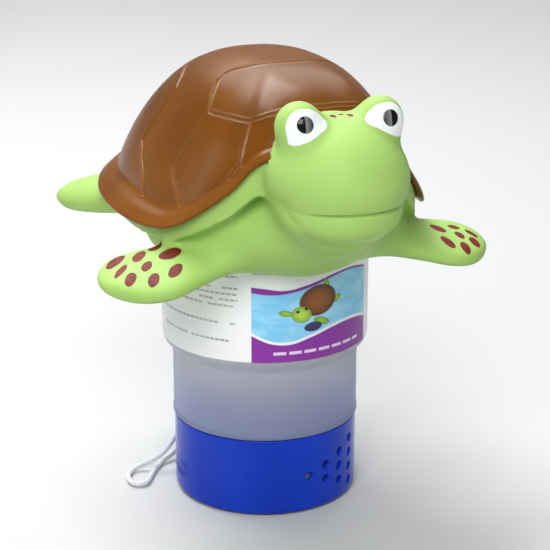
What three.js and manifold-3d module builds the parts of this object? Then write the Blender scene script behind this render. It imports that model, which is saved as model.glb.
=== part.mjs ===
import * as THREE from 'three';
import { mergeVertices } from 'three/addons/utils/BufferGeometryUtils.js';
import Module from 'manifold-3d';

// Turtle-topped floating tablet dispenser. Millimetres, +Z up, the turtle faces -Y, the flat foot is on z = 0.

// ---- canister (translucent cup) ----
const R_FOOT = 41.6;        // neck inside the flow ring
const R_CUP = 45.0;         // lower cup, outside
const R_COLLAR = 49.4;      // wide collar, outside
const WALL = 2.0;
const Z_RING_TOP = 38.9;    // top edge of the flow ring
const Z_STEP0 = 73.7;       // start of the step out to the collar
const Z_STEP1 = 79.4;
const Z_RIM = 129.0;        // top of the collar
const LEDGE_R = 44.6;       // inner bayonet ledge
const LEDGE_Z0 = 124.3;
const LEDGE_Z1 = 126.5;
const BAYONET = [90, 210, 330];   // degrees about +Z
const NOTCH_HALF = 11;      // degrees
const LUG_HALF = 8;         // degrees
const WINDOW_A0 = -74.2;    // flow window, degrees about +Z
const WINDOW_A1 = -41.8;
const WINDOW_Z0 = 7.0;
const WINDOW_Z1 = 30.0;

// ---- flow ring ----
const RING_RI = 42.1;
const RING_RO = 44.7;
const HOLE_R = 2.2;
const HOLE_PITCH = 12.8;    // degrees
const HOLE_A0 = -82.7;      // first column, degrees about +Z
const HOLE_COLS = [[18.5], [22.2, 14.8], [26.0, 18.5, 11.0], [29.6, 22.2, 14.8, 7.4]];

// ---- label ----
const LABEL_RI = R_COLLAR + 0.3;
const LABEL_RO = R_COLLAR + 0.6;
const LABEL_Z0 = 80.6;
const LABEL_Z1 = 127.4;

// ---- float plug and seal ----
const SOCKET_R = 50.8;
const SOCKET_Z = 134.3;
const PLUG_TOP = 134.0;
const PLUG_FLANGE_Z = 131.3;
const PLUG_FLANGE_R = 50.0;
const SKIRT_RO = 44.1;
const SKIRT_RI = 41.7;
const SKIRT_Z = 112.0;

// ---- carapace ----
const YC = 11.08;           // centre of the plan outline
const A_FRONT = 98.9, A_REAR = 98.4, B_SIDE = 73.4, PLAN_N = 2.187;
const APEX_Z = 218.1, APEX_Y = -9.5, DOME_P1 = 2.717, DOME_P2 = 0.857, DROP = 0.738;
const SHELL_T = 2.4;

// ---- tether ----
const CORD_D = 2.6;
const LUG_ANGLE = 118;      // degrees about +Z
const LUG_R = 48.6;
const LUG_Z = 44.0;

const GAP = 0.4;
const GRID = 6.2;           // cell of the sculpted body           // cell of the sculpted body           // cell of the sculpted body           // cell of the sculpted body

const wasm = await Module();
wasm.setup();

const rad = (d) => d * Math.PI / 180;
const clamp = (x, a, b) => Math.min(b, Math.max(a, x));

// ---------------------------------------------------------------- mesh helpers
function cleaned(geometry) {
  const g = new THREE.BufferGeometry();
  g.setAttribute('position', geometry.getAttribute('position').clone());
  if (geometry.index) g.setIndex(geometry.index.clone());
  const m = mergeVertices(g, 2e-4);
  const p = m.getAttribute('position').array;
  const src = m.index.array;
  const idx = [];
  for (let i = 0; i < src.length; i += 3) {
    const [a, b, c] = [src[i], src[i + 1], src[i + 2]];
    if (a !== b && b !== c && a !== c) idx.push(a, b, c);
  }
  let vol = 0;
  for (let i = 0; i < idx.length; i += 3) {
    const [a, b, c] = [idx[i] * 3, idx[i + 1] * 3, idx[i + 2] * 3];
    vol += p[a] * (p[b + 1] * p[c + 2] - p[b + 2] * p[c + 1])
      - p[a + 1] * (p[b] * p[c + 2] - p[b + 2] * p[c])
      + p[a + 2] * (p[b] * p[c + 1] - p[b + 1] * p[c]);
  }
  if (vol < 0) for (let i = 0; i < idx.length; i += 3) [idx[i + 1], idx[i + 2]] = [idx[i + 2], idx[i + 1]];
  const out = new THREE.BufferGeometry();
  out.setAttribute('position', new THREE.BufferAttribute(new Float32Array(p), 3));
  out.setIndex(idx);
  return out;
}

function solid(geometry) {
  const g = cleaned(geometry);
  return new wasm.Manifold(new wasm.Mesh({
    numProp: 3,
    vertProperties: new Float32Array(g.getAttribute('position').array),
    triVerts: new Uint32Array(g.index.array),
  }));
}

function geometryOf(manifold) {
  const m = manifold.getMesh();
  const n = m.vertProperties.length / m.numProp;
  const pos = new Float32Array(n * 3);
  for (let i = 0; i < n; i++) for (let k = 0; k < 3; k++) pos[i * 3 + k] = m.vertProperties[i * m.numProp + k];
  const g = new THREE.BufferGeometry();
  g.setAttribute('position', new THREE.BufferAttribute(pos, 3));
  g.setIndex(Array.from(m.triVerts));
  return g;
}

// closed (r, z) profile turned about +Z
function lathe(profile, segments) {
  const pts = profile.map(([r, z]) => new THREE.Vector2(r, z));
  const g = new THREE.LatheGeometry(pts, segments);
  g.rotateX(Math.PI / 2);
  return g;
}

// block between two radii, two heights and two angles (degrees)
function sector(r0, r1, z0, z1, a0, a1, n) {
  const pos = [], idx = [];
  for (let i = 0; i <= n; i++) {
    const a = rad(a0 + (a1 - a0) * i / n), c = Math.cos(a), s = Math.sin(a);
    for (const [r, z] of [[r0, z0], [r1, z0], [r1, z1], [r0, z1]]) pos.push(r * c, r * s, z);
  }
  for (let i = 0; i < n; i++) for (let k = 0; k < 4; k++) {
    const a = i * 4 + k, b = i * 4 + (k + 1) % 4, c = b + 4, d = a + 4;
    idx.push(a, b, c, a, c, d);
  }
  const e = n * 4;
  idx.push(0, 2, 1, 0, 3, 2, e, e + 1, e + 2, e, e + 2, e + 3);
  const g = new THREE.BufferGeometry();
  g.setAttribute('position', new THREE.Float32BufferAttribute(pos, 3));
  g.setIndex(idx);
  return g;
}

// closed ring of sections: sections[i] is a loop of [x, y, z]
function loopSolid(sections) {
  const n = sections.length, m = sections[0].length, pos = [], idx = [];
  for (const s of sections) for (const p of s) pos.push(...p);
  for (let i = 0; i < n; i++) {
    const j = (i + 1) % n;
    for (let k = 0; k < m; k++) {
      const l = (k + 1) % m;
      const a = i * m + k, b = i * m + l, c = j * m + l, d = j * m + k;
      idx.push(a, b, c, a, c, d);
    }
  }
  const g = new THREE.BufferGeometry();
  g.setAttribute('position', new THREE.Float32BufferAttribute(pos, 3));
  g.setIndex(idx);
  return g;
}

// stack of closed rings between two poles; rings[k] is a loop of [x, y, z]
function domeSolid(top, rings, bottom) {
  const n = rings[0].length, pos = [...top], idx = [];
  for (const r of rings) for (const p of r) pos.push(...p);
  pos.push(...bottom);
  const last = 1 + rings.length * n;
  for (let i = 0; i < n; i++) {
    const j = (i + 1) % n;
    idx.push(0, 1 + i, 1 + j);
    for (let k = 0; k + 1 < rings.length; k++) {
      const a = 1 + k * n + i, b = 1 + (k + 1) * n + i, c = 1 + (k + 1) * n + j, d = 1 + k * n + j;
      idx.push(a, b, c, a, c, d);
    }
    const a = 1 + (rings.length - 1) * n + i, b = 1 + (rings.length - 1) * n + j;
    idx.push(a, last, b);
  }
  const g = new THREE.BufferGeometry();
  g.setAttribute('position', new THREE.Float32BufferAttribute(pos, 3));
  g.setIndex(idx);
  return g;
}

// cubic through knots with central-difference slopes
function curve(x, xs, ys) {
  const n = xs.length;
  const slope = (i) => i === 0 ? (ys[1] - ys[0]) / (xs[1] - xs[0])
    : i === n - 1 ? (ys[n - 1] - ys[n - 2]) / (xs[n - 1] - xs[n - 2])
    : (ys[i + 1] - ys[i - 1]) / (xs[i + 1] - xs[i - 1]);
  const v = clamp(x, xs[0], xs[n - 1]);
  let i = 0;
  while (i < n - 2 && v >= xs[i + 1]) i++;
  const h = xs[i + 1] - xs[i], t = (v - xs[i]) / h;
  return (1 + 2 * t) * (1 - t) ** 2 * ys[i] + t * (1 - t) ** 2 * h * slope(i)
    + t * t * (3 - 2 * t) * ys[i + 1] + t * t * (t - 1) * h * slope(i + 1);
}

// ---------------------------------------------------------------- sculpted body, as a distance field
const smin = (a, b, k) => { const h = clamp(0.5 + 0.5 * (b - a) / k, 0, 1); return b + (a - b) * h - k * h * (1 - h); };
function ell(p, c, r) {
  let s0 = 0, s1 = 0;
  for (let k = 0; k < 3; k++) { const q = p[k] - c[k]; s0 += q * q / (r[k] ** 2); s1 += q * q / (r[k] ** 4); }
  const k0 = Math.sqrt(s0), k1 = Math.sqrt(s1);
  return k0 * (k0 - 1) / Math.max(k1, 1e-9);
}
const sub = (a, b) => [a[0] - b[0], a[1] - b[1], a[2] - b[2]];
const dot = (a, b) => a[0] * b[0] + a[1] * b[1] + a[2] * b[2];
const cross = (a, b) => [a[1] * b[2] - a[2] * b[1], a[2] * b[0] - a[0] * b[2], a[0] * b[1] - a[1] * b[0]];
const norm = (a) => Math.sqrt(dot(a, a));
const scale = (a, s) => [a[0] * s, a[1] * s, a[2] * s];
const add = (a, b) => [a[0] + b[0], a[1] + b[1], a[2] + b[2]];
const unit = (a) => scale(a, 1 / norm(a));
function roundCone(p, a, b, r1, r2) {
  const ba = sub(b, a), t = clamp(dot(sub(p, a), ba) / dot(ba, ba), 0, 1);
  return norm(sub(sub(p, a), scale(ba, t))) - (r1 + (r2 - r1) * t);
}
function makePaddle(S, T, across, lead, trail, thick, us, sweep, droop) {
  const L = norm(sub(T, S)), U = unit(sub(T, S));
  const V = unit(sub(across, scale(U, dot(across, U))));
  let W = cross(U, V);
  if (W[2] < 0) W = scale(W, -1);
  const pw = 2.4;
  return (p) => {
    const q = sub(p, S), u = dot(q, U), s = clamp(u / L, 0, 1);
    const bow = Math.sin(Math.PI * s);
    const v = dot(q, V) - sweep * bow, w = dot(q, W) - droop * bow;
    const e = clamp((s - 0.52) / 0.48, 0, 1), k = Math.max(1 - e ** 2.3, 1e-4) ** 0.5;
    const c = (v > 0 ? curve(s, us, trail) : curve(s, us, lead)) * Math.max(k, 0.06);
    const t = curve(s, us, thick) * Math.max(1 - e ** 4.5, 0.02) ** 0.45;
    const a = Math.abs(v) / c, b = Math.abs(w) / t;
    const f = (a ** pw + b ** pw) ** (1 / pw);
    const g = Math.sqrt((a ** (pw - 1) / c) ** 2 + (b ** (pw - 1) / t) ** 2) / Math.max(f, 1e-9) ** (pw - 1);
    const d = clamp((f - 1) / Math.max(g, 1e-6), -12, 60);
    return Math.max(d, Math.max(u - L, -(u + 0.2 * L)));
  };
}
const FLIP_US = [0, 0.25, 0.45, 0.65, 0.85, 1.0];
const frontFlipper = makePaddle([30, -40, 141], [93.6, -45.6, 126.2], [0, 1, 0.17],
  [20, 21, 23, 26, 26, 23], [18, 13.5, 14.5, 19, 22, 22], [10.5, 9, 7.2, 6.2, 6.2, 6], FLIP_US, -2, -1.3);
const hindFlipper = makePaddle([40, 55, 141], [76.8, 99.6, 129.3], [-0.75, 0.6, 0.45],
  [15, 15.5, 15.5, 14, 12, 9.5], [12, 11, 10, 9.5, 9, 8], [11, 9, 7.5, 6.5, 5.7, 5], FLIP_US, 0, 1);
const EYE_C = [19.3, -87, 200];
function sculpt(p) {
  const q = [Math.abs(p[0]), p[1], p[2]];
  let d = smin(ell(p, [0, 12, 148], [60, 84, 23]), ell(p, [0, -44, 148.5], [46, 36, 22.5]), 12);
  const br = Math.hypot(p[0], p[1]) - 50.5, bz = Math.abs(p[2] - 143) - 11;
  const boss = Math.min(Math.max(br, bz), 0) + Math.hypot(Math.max(br, 0), Math.max(bz, 0)) - 6;
  d = smin(d, boss, 6);
  d = smin(d, roundCone(p, [0, -50, 153], [0, -84, 166], 26, 25), 12);
  d = smin(d, frontFlipper(q), 10);
  d = smin(d, hindFlipper(q), 8);
  let h = ell(p, [0, -84, 178], [30.4, 32, 26]);
  h = smin(h, ell(p, [0, -97, 178], [25.4, 22.5, 17.5]), 8);
  h = smin(h, ell(p, [0, -92.5, 162.5], [26, 23.5, 12.5]), 5);
  h = smin(h, ell(q, [18.3, -89, 200.5], [10.3, 9.8, 10.6]), 7);
  return smin(d, h, 5);
}

function surfaceNets(f, lo, hi, h) {
  const n = [0, 1, 2].map((k) => Math.ceil((hi[k] - lo[k]) / h) + 1);
  const val = new Float64Array(n[0] * n[1] * n[2]);
  const at = (i, j, k) => (i * n[1] + j) * n[2] + k;
  for (let i = 0; i < n[0]; i++) for (let j = 0; j < n[1]; j++) for (let k = 0; k < n[2]; k++)
    val[at(i, j, k)] = f([lo[0] + i * h, lo[1] + j * h, lo[2] + k * h]);
  const vid = new Int32Array(val.length).fill(-1);
  const pos = [], idx = [];
  const corners = [];
  for (let c = 0; c < 8; c++) corners.push([c & 1, (c >> 1) & 1, (c >> 2) & 1]);
  for (let i = 0; i + 1 < n[0]; i++) for (let j = 0; j + 1 < n[1]; j++) for (let k = 0; k + 1 < n[2]; k++) {
    const v = corners.map(([a, b, c]) => val[at(i + a, j + b, k + c)]);
    const neg = v.filter((x) => x < 0).length;
    if (neg === 0 || neg === 8) continue;
    const s = [0, 0, 0];
    let m = 0;
    for (let a = 0; a < 8; a++) for (const bit of [1, 2, 4]) {
      const b = a | bit;
      if (b === a || (v[a] < 0) === (v[b] < 0)) continue;
      const t = v[a] / (v[a] - v[b]);
      for (let q = 0; q < 3; q++) s[q] += corners[a][q] + t * (corners[b][q] - corners[a][q]);
      m++;
    }
    vid[at(i, j, k)] = pos.length / 3;
    pos.push(lo[0] + (i + s[0] / m) * h, lo[1] + (j + s[1] / m) * h, lo[2] + (k + s[2] / m) * h);
  }
  const quad = (a, b, c, d, flip) => {
    const P = (q) => [pos[q * 3], pos[q * 3 + 1], pos[q * 3 + 2]];
    const ac = norm(sub(P(a), P(c))), bd = norm(sub(P(b), P(d)));
    const t = ac <= bd ? [[a, b, c], [a, c, d]] : [[a, b, d], [b, c, d]];
    for (const [x, y, z] of t) flip ? idx.push(x, z, y) : idx.push(x, y, z);
  };
  for (let i = 1; i + 1 < n[0]; i++) for (let j = 1; j + 1 < n[1]; j++) for (let k = 1; k + 1 < n[2]; k++) {
    const a = val[at(i, j, k)] < 0;
    if (a !== (val[at(i + 1, j, k)] < 0))
      quad(vid[at(i, j - 1, k - 1)], vid[at(i, j, k - 1)], vid[at(i, j, k)], vid[at(i, j - 1, k)], !a);
    if (a !== (val[at(i, j + 1, k)] < 0))
      quad(vid[at(i - 1, j, k - 1)], vid[at(i - 1, j, k)], vid[at(i, j, k)], vid[at(i, j, k - 1)], !a);
    if (a !== (val[at(i, j, k + 1)] < 0))
      quad(vid[at(i - 1, j - 1, k)], vid[at(i, j - 1, k)], vid[at(i, j, k)], vid[at(i - 1, j, k)], !a);
  }
  // even the mesh out, keeping every vertex on the surface
  const near = Array.from({ length: pos.length / 3 }, () => new Set());
  for (let i = 0; i < idx.length; i += 3) for (let a = 0; a < 3; a++) {
    near[idx[i + a]].add(idx[i + (a + 1) % 3]);
    near[idx[i + (a + 1) % 3]].add(idx[i + a]);
  }
  const onto = (p, most) => {
    const e = 0.4, start = p;
    for (let it = 0; it < 2; it++) {
      const g = [0, 1, 2].map((q) => {
        const a = [...p], b = [...p];
        a[q] += e; b[q] -= e;
        return (f(a) - f(b)) / (2 * e);
      });
      const gg = Math.max(dot(g, g), 0.25);
      p = sub(p, scale(g, f(p) / gg));
    }
    const d = norm(sub(p, start));
    return d > most ? add(start, scale(sub(p, start), most / d)) : p;
  };
  let pts = near.map((_, i) => [pos[3 * i], pos[3 * i + 1], pos[3 * i + 2]]);
  for (let round = 0; round < 4; round++) {
    pts = pts.map((p, i) => {
      let c = [0, 0, 0];
      for (const j of near[i]) c = add(c, pts[j]);
      return onto(add(scale(p, 0.45), scale(c, 0.55 / near[i].size)), 0.3 * h);
    });
  }
  const g = new THREE.BufferGeometry();
  g.setAttribute('position', new THREE.Float32BufferAttribute(pts.flat(), 3));
  g.setIndex(idx);
  return g;
}

// ---------------------------------------------------------------- carapace surface: direction t, fraction s (0 apex, 1 foot, 2 lip)
const planR = (t) => {
  const c = Math.abs(Math.cos(t) / B_SIDE), s = Math.abs(Math.sin(t) / (Math.sin(t) > 0 ? A_REAR : A_FRONT));
  return (c ** PLAN_N + s ** PLAN_N) ** (-1 / PLAN_N);
};
const rimY = (t) => planR(t) * Math.sin(t) + YC;
const rimZ = (t) => 1.0 + curve(rimY(t), [-88, -80, -73, -63, -50, -35, 0, 40, 80, 112],
  [189, 183, 171, 160.5, 151.5, 147, 145.5, 146, 148, 151]);
const flangeW = (t) => curve(rimY(t), [-90, -70, -45, 0, 60, 112], [5, 6, 8.5, 11, 11, 10]);
function shellRZ(t, s) {          // radius from the section's own centre, height, and the centre's y
  const fw = flangeW(t), Rf = planR(t) - fw, zf = rimZ(t) + fw * DROP;
  const sd = clamp(s, 0, 1), sf = clamp(s - 1, 0, 1);
  const z = zf + (APEX_Z - zf) * Math.max(1 - sd ** DOME_P1, 0) ** DOME_P2 - fw * DROP * sf;
  return [sd * Rf + sf * fw, z, YC + (APEX_Y - YC) * (1 - sd * sd)];
}
// point of the shell moved inwards by "depth" along the section's normal
function shellPoint(t, s, depth) {
  const e = 0.004;
  const a = shellRZ(t, Math.max(s - e, 0.0005)), b = shellRZ(t, Math.min(s + e, 2));
  const c = shellRZ(t, s);
  let dr = b[0] - a[0] + (b[2] - a[2]) * Math.sin(t), dz = b[1] - a[1];
  const l = Math.hypot(dr, dz);
  dr /= l; dz /= l;
  const r = c[0] + dz * depth, z = c[1] - dr * depth;
  return [r * Math.cos(t), c[2] + r * Math.sin(t), z];
}
const SHELL_N = 48;
const DIRS = Array.from({ length: SHELL_N }, (_, i) => 2 * Math.PI * i / SHELL_N);
const DOME_S = [0.16, 0.32, 0.46, 0.58, 0.68, 0.77, 0.85, 0.91, 0.96, 1.0];
const shellRing = (s, depth) => DIRS.map((t) => shellPoint(t, s, depth));

// carapace: thin dome with a flared rim
const outerRings = [...DOME_S, 1.12, 1.5, 1.85, 2.0].map((s) => shellRing(s, 0));
const innerS = [2.0, 1.6, 1.2, 1.0, 0.93, 0.84, 0.74, 0.62, 0.46, 0.24];
const innerRings = innerS.map((s) => shellRing(s, SHELL_T));
const carapaceGeo = domeSolid([0, APEX_Y, APEX_Z], [...outerRings, ...innerRings], [0, APEX_Y, APEX_Z - SHELL_T]);

// the space the carapace fills, grown by the gap and closed underneath
const toolTop = [...DOME_S, 1.5, 2.0].map((s) => shellRing(s, -GAP));
const lipOut = DIRS.map((t) => { const p = shellPoint(t, 2.0, 0); const c = Math.cos(t), s = Math.sin(t); return [p[0] + 0.6 * c, p[1] + 0.6 * s, p[2] - 0.2]; });
const lipDown = DIRS.map((t) => { const p = shellPoint(t, 2.0, SHELL_T + GAP); return [p[0] + 0.4 * Math.cos(t), p[1] + 0.4 * Math.sin(t), p[2] - 0.2]; });
const carapaceSpace = solid(domeSolid([0, APEX_Y, APEX_Z + GAP], [...toolTop, lipOut, lipDown], [0, YC, 146]));

// seat ring of the body, just under the carapace's flange and foot
const seatSections = DIRS.map((t) => {
  const depth = SHELL_T + GAP;
  const c = Math.cos(t), s = Math.sin(t);
  const top = [1.45, 1.2, 1.0, 0.955].map((f) => shellPoint(t, f, depth + (f < 1 ? 0.5 : 0)));
  const drop = 7 + 9 * clamp((rimZ(t) - 147) / 41, 0, 1);
  const [xo, yo] = [top[0][0], top[0][1]];
  const zb = rimZ(t) - drop;
  const last = top[3];
  return [...top,
    [last[0] - 3.2 * c, last[1] - 3.2 * s, last[2] - 1.0],
    [last[0] - 3.2 * c, last[1] - 3.2 * s, zb],
    [xo - 4.5 * c, yo - 4.5 * s, zb],
    [xo - 0.6 * c, yo - 0.6 * s, top[0][2] - 2.2]];
});
const seat = solid(loopSolid(seatSections));

// hollow of the body, open at the top under the carapace
const CAV_FLOOR = 137.6, CAV_TOP = 212;
const cavityRing = (inset, z, yFront) => DIRS.map((t) => {
  const p = shellPoint(t, 0.955, SHELL_T + GAP + 0.5);
  const c = Math.cos(t), s = Math.sin(t);
  return [p[0] - inset * c, Math.max(p[1] - inset * s, yFront), z];
});
const cavity = solid(domeSolid([0, YC, CAV_TOP], [
  cavityRing(3.0, CAV_TOP, -54), cavityRing(3.0, 156, -54), cavityRing(5.0, 147, -52), cavityRing(15, 140, -47), cavityRing(22, CAV_FLOOR, -42),
], [0, YC, CAV_FLOOR]));
const headHollow = (() => {
  const g = new THREE.SphereGeometry(1, 20, 12);
  g.scale(25, 26, 20.5);
  g.translate(0, -84, 177);
  return solid(g);
})();
const neckHollow = (() => {
  const g = new THREE.CapsuleGeometry(17, 38, 5, 16);
  g.rotateX(rad(90 - 24));
  g.translate(0, -60, 166);
  return solid(g);
})();

const bodySolid = solid(surfaceNets(sculpt, [-106.4, -128.8, 112], [106.4, 126, 218], GRID));
const socket = solid(lathe([[0, 100], [SOCKET_R, 100], [SOCKET_R, SOCKET_Z], [0, SOCKET_Z]], 44));

// ---------------------------------------------------------------- eyes, set into the bulges
const EYE_AXIS = unit([0, -9.5, 3.3]);
const EYE_X = [1, 0, 0];
const EYE_Y = (() => { const y = cross(EYE_AXIS, EYE_X); return y[2] < 0 ? scale(y, -1) : y; })();
const EYE_PH = [-180, -165, -145, -113, -85, -70, -55, -48, -35, -10, 12, 39, 73, 107, 140, 165, 180];
const EYE_TH = [50, 42.5, 33.5, 31, 37, 45, 55, 55.5, 49, 43, 39, 35, 32, 31.5, 38.5, 47, 50];
const eyeDir = (th, ph) => unit(add(scale(EYE_AXIS, Math.cos(th)),
  add(scale(EYE_X, Math.sin(th) * Math.cos(ph)), scale(EYE_Y, Math.sin(th) * Math.sin(ph)))));
function eyeRho(dir) {
  let a = 4, b = 30;
  for (let i = 0; i < 40; i++) {
    const m = (a + b) / 2;
    if (sculpt(add(EYE_C, scale(dir, m))) < 0) a = m; else b = m;
  }
  return (a + b) / 2;
}
// patch between two depths below the skin; outline(ph) gives the half-angle
function eyePatch(outline, c0, up, down, grow, nph, nth) {
  const rings = (off) => {
    const out = [];
    for (let k = 1; k <= nth; k++) {
      const ring = [];
      for (let i = 0; i < nph; i++) {
        const ph = -Math.PI + 2 * Math.PI * i / nph;
        const th = rad(outline(ph * 180 / Math.PI) + grow) * k / nth;
        const tx = c0[0] + th * Math.cos(ph), ty = c0[1] + th * Math.sin(ph);
        const dir = eyeDir(Math.hypot(tx, ty), Math.atan2(ty, tx));
        ring.push(add(EYE_C, scale(dir, eyeRho(dir) + off)));
      }
      out.push(ring);
    }
    return out;
  };
  const centre = eyeDir(Math.hypot(...c0), Math.atan2(c0[1], c0[0]));
  const rho = eyeRho(centre);
  return domeSolid(add(EYE_C, scale(centre, rho + up)), [...rings(up), ...rings(-down).reverse()],
    add(EYE_C, scale(centre, rho - down)));
}
const whiteOutline = (ph) => curve(ph, EYE_PH, EYE_TH);
const pupilOutline = () => 16.8;
const PUPIL_C = [rad(0), rad(-3)];
const mirrored = (g) => { const m = g.clone(); m.scale(-1, 1, 1); return m; };
const whiteSolid = solid(eyePatch(whiteOutline, [0, 0], 0.25, 1.1, -0.6, 22, 2));
const whiteCut = solid(eyePatch(whiteOutline, [0, 0], 6, 1.6, 1.6, 22, 2));
const pupilSolid = solid(eyePatch(pupilOutline, PUPIL_C, 0.75, 0.1, 0, 14, 2));
const pupilCut = solid(eyePatch(pupilOutline, PUPIL_C, 6, 0.45, 1.7, 14, 2));
const whiteGeo = geometryOf(whiteSolid.subtract(pupilCut));
const pupilGeo = geometryOf(pupilSolid);

const bodyManifold = bodySolid.subtract(carapaceSpace).add(seat)
  .subtract(cavity).subtract(headHollow).subtract(neckHollow)
  .subtract(socket).subtract(whiteCut).subtract(solid(mirrored(geometryOf(whiteCut))));
const bodyParts = bodyManifold.decompose().sort((a, b) => b.volume() - a.volume());
const bodyGeo = geometryOf(bodyParts[0]);

// ---------------------------------------------------------------- canister
const cupProfile = [
  [0, 0], [39.6, 0], [41.0, 0.6], [R_FOOT, 1.9], [R_FOOT + 0.8, 2.5], [R_FOOT + 0.8, 3.5], [R_FOOT, 4.1],
  [R_FOOT, 39.3], [R_CUP - 0.2, 39.4], [R_CUP + 0.3, 40.0], [R_CUP + 0.4, 40.8], [R_CUP + 0.1, 41.7], [R_CUP, 42.6],
  [R_CUP, Z_STEP0], [R_COLLAR - 0.5, Z_STEP1 - 0.9], [R_COLLAR, Z_STEP1], [R_COLLAR, Z_RIM - 0.7], [R_COLLAR - 0.6, Z_RIM],
  [R_COLLAR - WALL + 0.3, Z_RIM], [R_COLLAR - WALL, Z_RIM - 0.5], [R_COLLAR - WALL, LEDGE_Z1], [LEDGE_R, LEDGE_Z1],
  [LEDGE_R, LEDGE_Z0], [R_COLLAR - WALL, LEDGE_Z0], [R_COLLAR - WALL, 80.9], [R_CUP - WALL, 75.2], [R_CUP - WALL, 42.0],
  [R_FOOT - WALL, 38.2], [R_FOOT - WALL, 2.6], [R_FOOT - WALL - 0.8, 2.0], [0, 2.0],
];
let cup = solid(lathe(cupProfile, 44));
for (const a of BAYONET) cup = cup.subtract(solid(sector(43.5, R_COLLAR - WALL + 0.35, LEDGE_Z0 - 0.4, LEDGE_Z1 + 0.4, a - NOTCH_HALF, a + NOTCH_HALF, 5)));
for (const o of [0, 180]) cup = cup.subtract(solid(sector(37.5, 43.6, WINDOW_Z0, WINDOW_Z1, WINDOW_A0 + o, WINDOW_A1 + o, 7)));
const eyelet = (() => {
  const shape = new THREE.Shape();
  shape.moveTo(43.9, LUG_Z - 3.4);
  shape.lineTo(LUG_R, LUG_Z - 3.4);
  shape.absarc(LUG_R, LUG_Z, 3.4, -Math.PI / 2, Math.PI / 2, false);
  shape.lineTo(43.9, LUG_Z + 3.4);
  shape.closePath();
  const hole = new THREE.Path();
  hole.absarc(LUG_R, LUG_Z, 1.9, 0, Math.PI * 2, true);
  shape.holes.push(hole);
  const g = new THREE.ExtrudeGeometry(shape, { depth: 6, bevelEnabled: false, curveSegments: 7 });
  g.translate(0, 0, -3);
  g.rotateX(Math.PI / 2);
  g.rotateZ(rad(LUG_ANGLE));
  return solid(g);
})();
cup = cup.add(eyelet);
const cupGeo = geometryOf(cup);

// ---------------------------------------------------------------- flow ring
let ring = solid(lathe([
  [RING_RI, 0.6], [RING_RI + 0.6, 0.5], [43.3, 0.7], [44.1, 1.4], [44.55, 2.4], [RING_RO, 3.6],
  [RING_RO, Z_RING_TOP - 0.5], [RING_RO - 0.4, Z_RING_TOP], [RING_RI + 0.2, Z_RING_TOP], [RING_RI, Z_RING_TOP - 0.3],
  [RING_RI, 5.0], [RING_RI + 0.8, 4.6], [RING_RI + 0.8, 1.6], [RING_RI, 1.2], [RING_RI, 0.6],
], 44));
for (const o of [0, 180]) HOLE_COLS.forEach((col, i) => {
  for (const z of col) {
    const g = new THREE.CylinderGeometry(HOLE_R, HOLE_R, 6, 8);
    g.rotateZ(Math.PI / 2);
    g.translate(43.4, 0, z);
    g.rotateZ(rad(HOLE_A0 + HOLE_PITCH * i + o));
    ring = ring.subtract(solid(g));
  }
});
const ringGeo = geometryOf(ring);

// ---------------------------------------------------------------- label, seal, plug
const labelGeo = cleaned(sector(LABEL_RI, LABEL_RO, LABEL_Z0, LABEL_Z1, 95, 95 + 352, 44));
const sealGeo = cleaned(lathe([[45.4, 129.3], [48.6, 129.3], [48.9, 129.7], [48.9, 130.6], [48.6, 131.0], [45.4, 131.0], [45.1, 130.6], [45.1, 129.7], [45.4, 129.3]], 32));
let plug = solid(lathe([
  [0, PLUG_TOP], [PLUG_FLANGE_R - 0.5, PLUG_TOP], [PLUG_FLANGE_R, PLUG_TOP - 0.5], [PLUG_FLANGE_R, PLUG_FLANGE_Z],
  [SKIRT_RO, PLUG_FLANGE_Z], [SKIRT_RO, SKIRT_Z + 1], [SKIRT_RO - 0.6, SKIRT_Z], [SKIRT_RI, SKIRT_Z], [SKIRT_RI, 130.9], [0, 130.9],
], 44));
for (const a of BAYONET) plug = plug.add(solid(sector(43.0, 46.9, 120.2, 123.7, a - LUG_HALF, a + LUG_HALF, 4)));
const plugGeo = geometryOf(plug);

// ---------------------------------------------------------------- tether
const TETHER = [
  [-23.1, 42.8, 44.0],
  [-25.9, 41.4, 44.0],
  [-28.8, 40.5, 42.9],
  [-30.7, 39.2, 39.0],
  [-31.2, 37.2, 32.0],
  [-31.7, 35.9, 25.0],
  [-34.0, 34.6, 18.0],
  [-39.0, 30.6, 13.6],
  [-43.9, 28.2, 9.8],
  [-48.6, 28.6, 6.4],
  [-53.1, 30.3, 3.8],
  [-57.6, 30.6, 2.2],
  [-61.6, 28.4, 1.5],
  [-64.3, 24.3, 1.42],
  [-65.6, 19.8, 1.42],
  [-65.5, 15.8, 1.42],
  [-64.3, 12.9, 1.42],
  [-61.9, 11.6, 1.42],
  [-59.2, 12.0, 1.42],
  [-57.2, 14.1, 1.42],
  [-54.9, 17.9, 1.42],
  [-50.9, 24.7, 1.42],
  [-46.0, 31.2, 1.5],
  [-41.9, 34.9, 2.0],
  [-37.6, 37.3, 3.0],
  [-33.6, 39.8, 4.8],
  [-30.0, 42.6, 8.0],
  [-26.6, 45.6, 13.0],
  [-23.4, 47.9, 19.5],
  [-20.6, 49.0, 27.5],
  [-18.3, 48.6, 35.5],
  [-17.9, 47.4, 40.3],
  [-18.9, 45.5, 43.2],
  [-20.8, 44.0, 44.1],
  [-22.5, 43.1, 44.0],
];
const tetherPath = new THREE.CatmullRomCurve3(TETHER.map((p) => new THREE.Vector3(...p)), false, 'centripetal');
const tetherGeo = (() => {
  const shape = new THREE.Shape();
  for (let i = 0; i < 8; i++) {
    const a = 2 * Math.PI * i / 8, x = CORD_D / 2 * Math.cos(a), y = CORD_D / 2 * Math.sin(a);
    i ? shape.lineTo(x, y) : shape.moveTo(x, y);
  }
  shape.closePath();
  return cleaned(new THREE.ExtrudeGeometry(shape, { steps: 56, bevelEnabled: false, extrudePath: tetherPath }));
})();

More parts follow.
